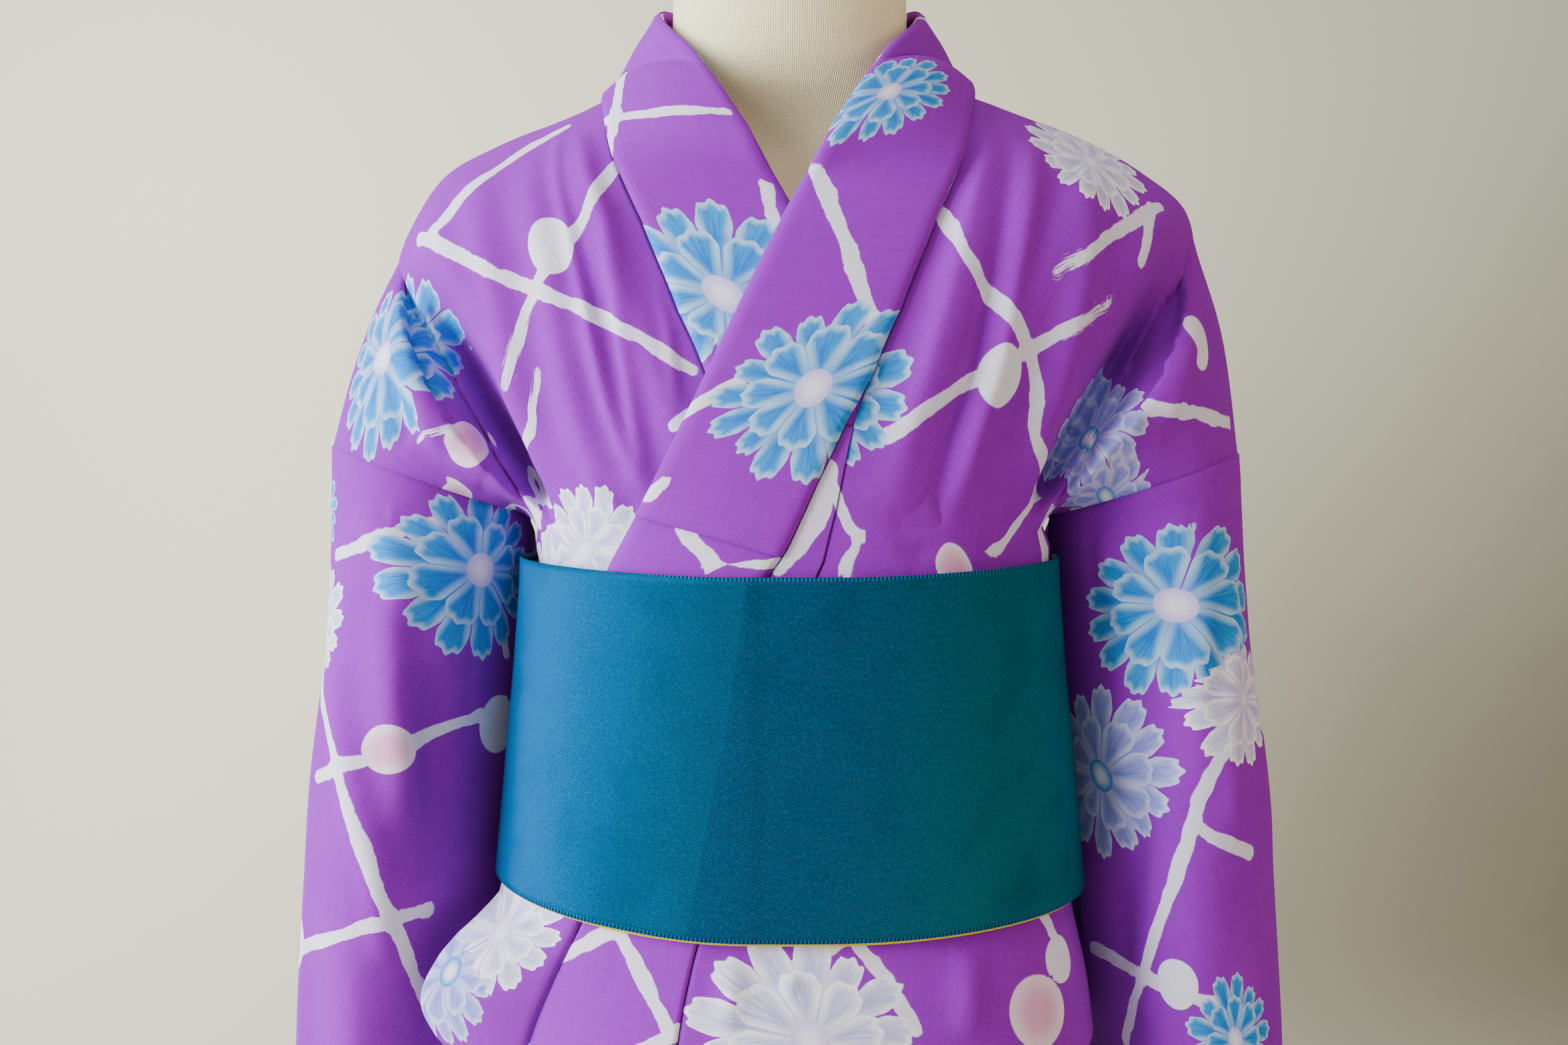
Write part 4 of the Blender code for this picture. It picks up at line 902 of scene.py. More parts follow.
def collarPoint(side, place, across, lift):
    path = neck["path"]
    shares = path["place"]
    i = 0
    while i < len(shares) - 2 and shares[i + 1] <= place:
        i += 1
    even = (i + (place - shares[i]) / (shares[i + 1] - shares[i])) / (len(shares) - 1)
    x, y, z, laid, roll = (along(path[key], even) for key in ("x", "y", "z", "laid", "roll"))
    seam = collarSeam(side, place, lift)
    edge = Vector((side * x, y, z))
    laid = smooth(0.0, 1.0, laid)
    edge.y = mix(edge.y - lift, -depthAt(edge.x, min(edge.z, 1.33)) - lift, laid)
    point = seam.lerp(edge, across)
    out = Vector((point.x * 0.4, point.y * 0.4, 0.07)).normalized()
    point += out * roll * math.sin(math.pi * across)
    if laid > 0.0:
        point.y = mix(point.y, -depthAt(point.x, min(point.z, 1.33)) - lift, laid)
    return point


def collarBelow(step, shares):  # between the waist and the tuck; its free edge flares out below the obi
    height = step[0]
    start = read(robe["laps"], height, "collarSeam") - robe["seam"] / 2
    end = read(robe["laps"], height, "collarEdge")
    out = robe["overLayer"] + bagged(step, 0.0, True)
    free = smooth(0.952, 0.935, height)
    seam = ringPoint("torso", height, start, out)
    edge = Vector((read(neck["flare"], height, "x"), read(neck["flare"], height, "y") - step[2], height))
    row = []
    for share in shares:
        laid = ringPoint("torso", height, mix(start, end, share), out)
        flared = seam.lerp(edge, share)
        flared.y -= neck["flareBow"] * math.sin(math.pi * share)
        row.append(laid.lerp(flared, free))
    return row


def collarBase(whole):  # the strip's inner face, from the upper lap down to the under lap's waist
    shares = np.linspace(0.0, 1.0, neck["across"])
    rows = []
    if whole:
        rows += [collarBelow(step, shares) for step in reversed(lowerRows()[:-6])]
    places = list(np.linspace(neck["topEnd"] if not whole else 0.0, 2.0, neck["rows"]))
    for side, ordered in ((1, places), (-1, places[::-1][1:])):
        for place in ordered:
            lift = (robe["overLayer"] if side > 0 else 0.0) * (1.0 - smooth(0.9, 1.3, place))
            skew = 0.0
            if side > 0 and not whole:
                skew = neck["endSkew"] * max(0.0, 1.0 - (place - neck["topEnd"]) / neck["skewRun"])
            rows.append([collarPoint(side, place + skew * (across - 0.5), across, lift) for across in shares])
    return np.array(rows)


def collarBand(name, whole, low, high, tuckEdge):  # the strip's outer face, low to high off its base
    base = collarBase(whole)
    middle = base[:, neck["across"] // 2]
    down = np.concatenate([[0.0], np.cumsum(np.linalg.norm(np.diff(middle, axis=0), axis=1))])
    across = np.linspace(0.0, neck["width"], neck["across"])
    uv = np.stack([np.tile(across, (len(down), 1)), np.tile(-down[:, None], (1, len(across)))], axis=2)
    normals = normalsOf(base)
    outward = np.sum(normals * base * np.array([1, 1, 0.0]), axis=2)
    normals *= np.where(outward < 0, -1.0, 1.0)[:, :, None]
    shares = np.linspace(0.0, 1.0, neck["across"])
    startRoll = (1 - np.minimum(1.0, shares / neck["rollStart"])) ** 2
    endRoll = np.maximum(0.0, (shares - (1.0 - neck["rollEnd"])) / neck["rollEnd"]) ** 2.2
    profile = high - (high - low) * (startRoll + 0.9 * endRoll)
    points = base + normals * profile[None, :, None]
    points[:, 0] += (base[:, 1] - base[:, 0]) * tuckEdge
    lip = base[:, -1] + (base[:, -1] - base[:, -2]) * 0.10 + normals[:, -1] * low
    under = base[:, -3] - normals[:, -3] * neck["under"]
    lipUv = uv[:, -1].copy()
    lipUv[:, 0] += (uv[:, -1, 0] - uv[:, -2, 0]) * 0.4
    underUv = lipUv + (uv[:, -1] - uv[:, -3])
    points = np.concatenate([points, lip[:, None], under[:, None]], axis=1)
    uv = np.concatenate([uv, lipUv[:, None], underUv[:, None]], axis=1)
    return clothObject(name, [grid(points, uv)])


# skirt
skirt = {
    "pitch": 0.004, "lap": 0.0032, "rows": 170, "top": 0.925, "wave": 0.0035, "short": 0.004, "past": 0.008,
}


def skirtWave(w, height):
    grow = smooth(0.90, 0.25, height)
    return skirt["wave"] * grow * (math.sin(w * 37.0 + 0.6) + 0.6 * math.sin(w * 61.0 + 2.0))


def skirtRows(start, end, lift, side):
    rows = []
    count = max(6, int((end - start) / skirt["pitch"]))
    for height in np.linspace(skirt["top"], robe["hem"], skirt["rows"]):
        total = halfRound("skirt", height)
        row = []
        for arc in np.linspace(start, end, count):
            place = min(arc if arc < end - 1e-6 or end < 0.3 else total, total - robe["seam"] / 2)
            out = lift(arc) + skirtWave(side * place, height)
            row.append(mirrored(ringPoint("skirt", height, place, out), side))
        rows.append(row)
    return np.array(rows)


def skirtPanels(side):
    over = side > 0
    seam, half = read(robe["laps"], robe["tuckFold"], "okumiSeam"), robe["seam"] / 2
    heights = np.linspace(skirt["top"], robe["hem"], 12)
    end = min(halfRound("skirt", height) for height in heights) - skirt["short"]

    def lift(arc):
        return skirt["lap"] * (1.0 - smooth(0.215, 0.270, arc)) if over else 0.0

    def flatLift(arc):
        return skirt["lap"] if over else 0.0

    for name, points in (
        ("skirtBody", skirtRows(seam + half, end + skirt["past"], lift, side)),
        ("skirtOkumi", skirtRows(seam - half - robe["okumiWidth"], seam - half, flatLift, side)),
    ):
        yield clothObject(name + ("Left" if over else "Right"), [grid(points, clothMap(points, side))])


# sleeves
sleeves = {
    "width": 0.340, "height": 0.490, "armhole": 0.230, "gap": 0.0003, "underarmGap": 0.0012,
    "tuck": 0.0022, "underSeam": 0.050, "frontEnd": 0.985, "underarmBack": 0.0060, "seamEnd": 0.80,
    "bodyRoom": 0.0096, "furiDrop": 0.200, "corner": 0.36, "rows": 112, "columns": 150, "ripple": 0.0011,
    "wave": (0.0040, 38.0), "smallWave": (0.0022, 69.0), "middle": (0.2, 0.02, 1.0),
    "front": {
        "share": (0, 0.14, 0.28, 0.42, 0.56, 0.7, 0.85, 1),
        "freeX": (0.247, 0.24, 0.214, 0.176, 0.147, 0.139, 0.142, 0.178),
        "freeY": (0.01, -0.036, -0.062, -0.052, 0.004, 0.044, 0.08, 0.134),
        "lowX": (0.256, 0.246, 0.214, 0.18, 0.164, 0.164, 0.166, 0.184),
        "lowY": (0.01, -0.036, -0.054, -0.028, 0.03, 0.07, 0.1, 0.136),
    },
    "back": {
        "share": (0, 0.14, 0.28, 0.42, 0.56, 0.7, 0.85, 1),
        "freeX": (0.247, 0.25, 0.238, 0.208, 0.157, 0.17, 0.182, 0.18),
        "freeY": (0.01, 0.05, 0.084, 0.096, 0.082, 0.105, 0.124, 0.134),
        "lowX": (0.256, 0.26, 0.248, 0.218, 0.198, 0.193, 0.192, 0.184),
        "lowY": (0.01, 0.048, 0.082, 0.1, 0.1, 0.108, 0.125, 0.136),
    },
}


def loopPlace(front, share, low):
    rows = sleeves["front" if front else "back"]
    free, bottom = ([along(rows[edge + axis], share) for axis in "XY"] for edge in ("free", "low"))
    return tuple(mix(start, end, low) for start, end in zip(free, bottom))


def sleeveTop(side, b, front):  # the edge sewn to the body and, below the armhole, the free one
    reach = b / sleeves["armhole"]
    seamed = sleeves["armhole"] + (sleeves["underSeam"] if front else 0.0)
    s = sleeves["seamEnd"] * min(1.0, reach)
    if front:
        below = min(1.0, max(0.0, (b - sleeves["armhole"]) / sleeves["underSeam"]))
        s += (sleeves["frontEnd"] - sleeves["seamEnd"]) * below
    lift = robe["sideLayer"] if side > 0 else 0.0
    if front:
        edge, inner = frontPoint(side, 1.0, s, lift), frontPoint(side, 0.97, s, lift)
    else:
        end = robe["sleeveU"]
        edge, inner = backPoint(side, end, s, lift), backPoint(side, end - 0.008, s, lift)
    away = (edge - inner).normalized()
    point = edge + away * (sleeves["gap"] + sleeves["underarmGap"] * smooth(0.6, 1.0, reach))
    if not front:
        point.y += sleeves["underarmBack"] * smooth(0.86, 1.0, reach)
    point.x *= side
    if b > seamed:
        far = (b - seamed) / (sleeves["height"] - seamed)
        endX, endY = loopPlace(front, b / sleeves["height"], 0.0)
        point.z -= sleeves["furiDrop"] * far ** 1.8
        across = rise(far * 1.5)
        point.x = mix(point.x, endX, across)
        point.y = mix(point.y, endY, across)
    return point


def besideBody(y, height, room):  # the torso's half width at a depth, with room for obi and tuck
    half = read(robe["torso"], height, "halfWidth") + room
    deep = read(robe["torso"], height, "back") + room
    return half * max(0.0, 1.0 - (abs(y) / deep) ** robe["roundness"]) ** (1 / robe["roundness"])


def sleevePoint(side, b, a, front, top):  # b from the shoulder fold round one face, a from seam to cuff
    share, down = b / sleeves["height"], a / sleeves["width"]
    x, y = loopPlace(front, share, smooth(0.45, 1.0, down))
    settle = smooth(0.0, 0.55, down)
    (deep, often), (small, close) = sleeves["wave"], sleeves["smallWave"]
    folds = deep * math.sin(b * often + (0.8 if front else 2.1)) * smooth(0.1, 0.6, down)
    folds += small * math.sin(b * close + 1.3 * side) * smooth(0.3, 1.0, down)
    folds *= smooth(0.0, 0.10, share) * (1 - smooth(0.40, 0.52, share))
    length = a * (1.0 - sleeves["corner"] * smooth(0.62, 1.0, share) * down)
    y = mix(top.y, y, settle) + (-folds if front else folds)
    place = Vector((mix(top.x, x, settle), y, top.z - length))
    room = sleeves["bodyRoom"] * smooth(sleeves["armhole"] / sleeves["height"], 0.56, share)
    if room > 0.0:
        place.x = max(place.x, besideBody(place.y, place.z, room))
    return mirrored(place, side)


def sleeve(side):  # a bag folded at the shoulder, open at the cuff and along the edge that faces the body
    name = "sleeveLeft" if side > 0 else "sleeveRight"
    bs = [share * sleeves["height"] for share in np.linspace(0.0, 1.0, sleeves["columns"])]
    edge = [(b, False, sleeveTop(side, b, False)) for b in bs[::-1]]
    edge += [(b, True, sleeveTop(side, b, True)) for b in bs[1:]]
    rows = []
    for down in np.linspace(0.0, 1.0, sleeves["rows"]):
        rows.append([sleevePoint(side, b, down * sleeves["width"], front, top) for b, front, top in edge])
    points = np.array(rows)
    uv = clothMap(points, -side, len(bs) - 1)
    uv[:, :, 0] -= uv[0, len(bs) - 1, 0]
    uv = unrolled(points, uv, False)
    lift = ripple(points, sleeves["ripple"], 8 + side) + creaseLift(uv, creases[name])
    lift *= borderMask(uv)
    normals = normalsOf(points)
    middle = np.array(sleeves["middle"]) * np.array([side, 1, 1])
    score = np.sum(normals * (points - middle) * np.array([1, 1, 0]))
    outward = 1.0 if score > 0 else -1.0
    points = points + normals * (lift * outward)[:, :, None]
    hidden = points[0] + (points[0] - points[1]) * 0.75 - normals[0] * outward * sleeves["tuck"]
    points = np.concatenate([hidden[None], points])  # the seam allowance, turned in behind the body's edge
    uv = np.concatenate([uv[:1] + (uv[:1] - uv[1:2]), uv])
    return clothObject(name, [grid(points, uv)])


# obi
obi = {
    "bottom": 0.945, "top": 1.110, "wall": 0.0007, "gap": 0.0003, "layer": 0.0015,
    "out": 0.0073, "sideOut": 0.0016, "stepArc": 0.0155, "stepWidth": 0.0015, "step": 0.0004,
    "dent": (-0.072, 0.962, 0.016, 0.020, 0.0014),  # arc, height, their widths and depth
    "riseTop": 0.009, "riseLeft": 0.008, "riseRight": 0.016, "innerLow": 0.0014, "innerShort": 0.004,
    "columns": 240, "rows": 44,
}


def obiWrap(name, lift, bottom, top):  # one closed turn round the waist, its lower edge rising to the sides
    centre, low, wide, tall, deep = obi["dent"]
    stepStart, stepEnd = -obi["stepArc"] - obi["stepWidth"], -obi["stepArc"] + obi["stepWidth"]
    rows = []
    for up in np.linspace(0.0, 1.0, obi["rows"]):
        row = []
        for share in np.arange(obi["columns"]) / obi["columns"]:
            height = mix(bottom, top, up)
            total = halfRound("torso", height)
            arc = mix(-total, total, share)
            side = smooth(0.02, 0.20, abs(arc))
            lowRise = obi["riseRight" if arc < 0 else "riseLeft"]
            height += obi["riseTop"] * side * up + lowRise * side * (1 - up)
            over = smooth(0.17, 0.24, abs(arc))
            out = mix(obi["out"], robe["sideLayer"] + robe["cloth"] + obi["sideOut"], over)
            if lift:
                out += obi["step"] * (1.0 - smooth(stepStart, stepEnd, arc)) * (1 - over)
                out -= deep * math.exp(-(((arc - centre) / wide) ** 2) - ((height - low) / tall) ** 2)
            row.append(ringPoint("torso", height, arc, lift + out))
        rows.append(row)
    points = np.array(rows)
    return clothObject(name, [grid(points, clothMap(points), closed=True)], obi["wall"])


knot = {
    "width": 0.160, "low": 0.962, "high": 1.145, "thick": 0.012, "tieWidth": 0.070, "back": 0.1136,
    "across": 60, "bend": 14, "flat": 24,
}


def bandLoop(name, width, low, high, inner, outer):  # a flattened loop of obi cloth, wide along X
    radius, middle = (outer - inner) / 2, (outer + inner) / 2
    bends = [math.pi * k / knot["bend"] for k in range(knot["bend"] + 1)]
    profile = [(middle - radius * math.cos(angle), high + radius * math.sin(angle)) for angle in bends]
    profile += [(outer, mix(high, low, k / knot["flat"])) for k in range(1, knot["flat"])]
    profile += [(middle + radius * math.cos(angle), low - radius * math.sin(angle)) for angle in bends]
    profile += [(inner, mix(low, high, k / knot["flat"])) for k in range(1, knot["flat"])]
    xs = np.linspace(-width / 2, width / 2, knot["across"])
    points = np.array([[Vector((x, y, z)) for x in xs] for y, z in profile + profile[:1]])
    return clothObject(name, [grid(points, clothMap(points))], obi["wall"])


def backKnot():
    inner = knot["back"] + obi["layer"]
    outer = inner + knot["thick"]
    gap = obi["layer"] + obi["gap"]
    low, high = knot["low"], knot["high"]
    fold = bandLoop("obiFold", knot["width"], low, high, inner, outer)
    tie = bandLoop("obiTie", knot["tieWidth"], low - gap, high + gap, inner - gap, outer + gap)
    return fold, tie


print("stage: cloth pieces")
pieces = {}
for side in (1, -1):
    pieces["body", side] = bodyPanel(side)
    pieces["okumi", side] = okumiPanel(side)
    pieces["skirtBody", side], pieces["skirtOkumi", side] = skirtPanels(side)
    pieces["sleeve", side] = sleeve(side)
pieces["collar"] = collarBand("neckCollar", True, 0.0006, 0.0022, 0.015)
pieces["overCollar"] = collarBand("overCollar", False, 0.0020, 0.0034, 0.0)
pieces["obiInner"] = obiWrap("obiInner", 0.0, obi["bottom"] - obi["innerLow"], obi["top"] - obi["innerShort"])
pieces["obiOuter"] = obiWrap("obiOuter", obi["layer"] + obi["gap"], obi["bottom"], obi["top"])
pieces["obiFold"], pieces["obiTie"] = backKnot()

for side, word in ((1, "left"), (-1, "right")):
    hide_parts("body_" + word)
    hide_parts("okumi_" + word)
    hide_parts("skirt_body_" + word)
    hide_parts("skirt_okumi_" + word)
    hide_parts("sleeve_" + word)
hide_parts("collar")
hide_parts("over_collar")
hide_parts("obi_inner_wrap")
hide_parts("obi_outer_wrap")
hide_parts("obi_fold")
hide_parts("obi_tie")


# dress form: a padded torso in cream knit, a turned wooden cap, a metal pole and base
form = {
    "height": (0.8, 0.808, 0.86, 0.95, 1.04, 1.12, 1.18, 1.23, 1.265, 1.29,
               1.308, 1.322, 1.334, 1.344, 1.354, 1.368, 1.384, 1.4, 1.44),
    "halfWidth": (0.131, 0.136, 0.134, 0.125, 0.121, 0.1235, 0.1325, 0.148, 0.16, 0.165,
                  0.162, 0.146, 0.118, 0.09, 0.073, 0.065, 0.062, 0.061, 0.061),
    "front": (0.088, 0.092, 0.091, 0.085, 0.084, 0.088, 0.091, 0.087, 0.074, 0.06,
              0.048, 0.041, 0.04, 0.043, 0.049, 0.056, 0.059, 0.06, 0.061),
    "back": (0.091, 0.095, 0.094, 0.087, 0.085, 0.09, 0.096, 0.096, 0.088, 0.076,
             0.064, 0.055, 0.05, 0.05, 0.053, 0.057, 0.06, 0.061, 0.061),
    "columns": 128, "rows": 190, "behind": 0.002, "roundness": 2.25,
}


def formTorso():
    verts, faces = [], []
    count, rings = form["columns"], form["rows"]
    for height in np.linspace(form["height"][0], form["height"][-1], rings):
        half, front, back = (read(form, height, key) for key in ("halfWidth", "front", "back"))
        power = mix(2 / form["roundness"], 1.0, smooth(1.33, 1.38, height))
        for k in range(count):
            angle = math.tau * k / count
            sine, cosine = math.sin(angle), math.cos(angle)
            depth = front if cosine > 0 else back
            x = half * math.copysign(abs(sine) ** power, sine)
            y = -depth * math.copysign(abs(cosine) ** power, cosine) + form["behind"]
            verts.append((x, y, height))
    for i in range(rings - 1):
        for j in range(count):
            n = (j + 1) % count
            faces.append((i * count + j, i * count + n, (i + 1) * count + n, (i + 1) * count + j))
    faces.append(tuple(reversed(range(count))))
    faces.append(tuple(range((rings - 1) * count, rings * count)))
    mesh = bpy.data.meshes.new("formCover")
    mesh.from_pydata(verts, [], faces)
    made = placed("formCover", mesh)
    mesh.shade_smooth()
    for polygon in mesh.polygons[-2:]:
        polygon.use_smooth = False
    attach(made, root)
    return made


pieces["form"] = formTorso()
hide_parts("form_torso")

cuts = {  # the cut of what shows: width, length, how it is held, its flat area where it isn't a rectangle
    "body": (0.335, 0.94, "draped", 0.262), "okumi": (0.150, 0.34, "draped", 0.0165),
    "skirtBody": (0.500, 0.855, "hung", None), "skirtOkumi": (0.150, 0.855, "hung", None),
    "sleeve": (0.600, 0.300, "hung", None), "collar": (0.075, 1.12, "folded", None),
    "overCollar": (0.075, 0.90, "folded", None), "obiInner": (0.165, 0.80, "stretched", None),
    "obiOuter": (0.165, 0.81, "stretched", None), "obiFold": (0.165, 0.39, "folded", None),
    "obiTie": (0.070, 0.42, "folded", None),
}
under = {"obiOuter": ["obiInner"], "obiFold": ["obiOuter"], "obiTie": ["obiFold"], "overCollar": ["collar"]}
for key, piece in pieces.items():
    kind = key if isinstance(key, str) else key[0]
    if kind in cuts:
        width, length, held, area = cuts[kind]
        [pieces[name] for name in under.get(kind, ["form"])]


for piece in pieces.values():
    area = sum(face.area for face in piece.data.polygons)
    print("piece", piece.name, "faces", len(piece.data.polygons), "area", round(area, 4))


class Wire:  # a shader value, so that sums on it can be written plainly
    def __init__(self, tree, socket=None):
        self.tree, self.socket = tree, socket

    def node(self, kind, settings=None, output=0, **inputs):
        made = self.tree.nodes.new("ShaderNode" + kind)
        for name, value in (settings or {}).items():
            setattr(made, name, value)
        for name, value in inputs.items():
            number = name[0] == "i" and name[1:].isdigit()
            socket = made.inputs[int(name[1:])] if number else made.inputs[name.replace("_", " ")]
            if isinstance(value, Wire):
                self.tree.links.new(value.socket, socket)
            else:
                socket.default_value = value
        return Wire(self.tree, made.outputs[output])

    def maths(self, operation, *others, last=False):  # this value comes first, unless last is set
        values = (*others, self) if last else (self, *others)
        inputs = {"i%d" % k: value for k, value in enumerate(values)}
        return self.node("Math", {"operation": operation}, **inputs)

    def __add__(self, other):
        return self.maths("ADD", other)

    def __sub__(self, other):
        return self.maths("SUBTRACT", other)

    def __rsub__(self, other):
        return self.maths("SUBTRACT", other, last=True)

    def __mul__(self, other):
        return self.maths("MULTIPLY", other)

    def __truediv__(self, other):
        return self.maths("DIVIDE", other)

    def __rtruediv__(self, other):
        return self.maths("DIVIDE", other, last=True)

    def __abs__(self):
        return self.maths("ABSOLUTE")

    __radd__ = __add__
    __rmul__ = __mul__

    def between(self, start, end, low=0.0, high=1.0):  # smooth step from low to high
        return self.node(
            "MapRange", {"interpolation_type": "SMOOTHSTEP"},
            i0=self, i1=start, i2=end, i3=low, i4=high,
        )

    def part(self, output):
        return self.node("SeparateXYZ", None, output, i0=self)

    def scaled(self, *amounts):
        return self.node("VectorMath", {"operation": "MULTIPLY"}, i0=self, i1=amounts)

    def noise(self, scale, detail=2.0, roughness=0.5):
        return self.node("TexNoise", None, 0, Vector=self, Scale=scale, Detail=detail, Roughness=roughness)

    def chance(self):  # an even random number for each value
        return self.node("TexWhiteNoise", {"noise_dimensions": "1D"}, "Value", W=self)

    def blend(self, first, second):  # this value is how much of the second colour shows
        settings = {"data_type": "RGBA", "blend_type": "MIX", "clamp_factor": True}
        return self.node("Mix", settings, 2, i0=self, i6=first, i7=second)

    def feed(self, shader, name):
        self.tree.links.new(self.socket, shader.inputs[name])

    def press(self, shader, strength, distance):  # this value as a low relief in the surface
        self.node("Bump", None, 0, Strength=strength, Distance=distance, Height=self).feed(shader, "Normal")


def colour(red, green, blue):  # from screen values
    return tuple((value / 255) ** 2.2 for value in (red, green, blue)) + (1.0,)


def material(name, fixed):  # a new material, its fixed settings made
    made = bpy.data.materials.new(name)
    made.use_nodes = True
    shader = made.node_tree.nodes["Principled BSDF"]
    for socket, value in fixed.items():
        shader.inputs[socket].default_value = value
    return made, Wire(made.node_tree), shader


cotton = {
    "ground": (156, 31, 190), "groundDark": (134, 22, 172), "thread": (90, 50, 140), "threads": 0.06,
    "white": (240, 234, 246), "whiteShade": (206, 190, 230),
    "deep": {"blue": (10, 112, 206), "white": (176, 168, 222), "lavender": (124, 130, 214)},
    "body": {"blue": (58, 158, 222), "white": (232, 228, 246), "lavender": (172, 170, 232)},
    "rim": {"blue": (172, 208, 240), "white": (250, 248, 252), "lavender": (206, 204, 242)},
    "heart": {"blue": (206, 190, 240), "white": (214, 196, 238), "lavender": (60, 138, 210)},
    "heartLight": (244, 238, 250), "outline": (150, 130, 205),
    "dotPink": (236, 170, 205), "dotRim": (248, 222, 236),
    "outerPetals": 14, "innerPetals": 8, "innerReach": 0.70, "innerTurn": 0.37, "heartSize": 0.175,
    "lopsided": 0.10, "petalShift": 0.10, "tip": 0.64, "tipRound": 0.335, "tipWave": 0.020,
    "strokeFray": 0.0016, "strokeDry": 0.016, "bristles": 1500.0, "strokeEdge": 0.00030,
    "weavePitch": 0.0009, "slub": 1500.0, "bump": 0.35, "depth": 0.0007,
    "fixed": {"Roughness": 0.86, "Specular IOR Level": 0.14, "Sheen Weight": 0.03, "Sheen Roughness": 0.5},
}


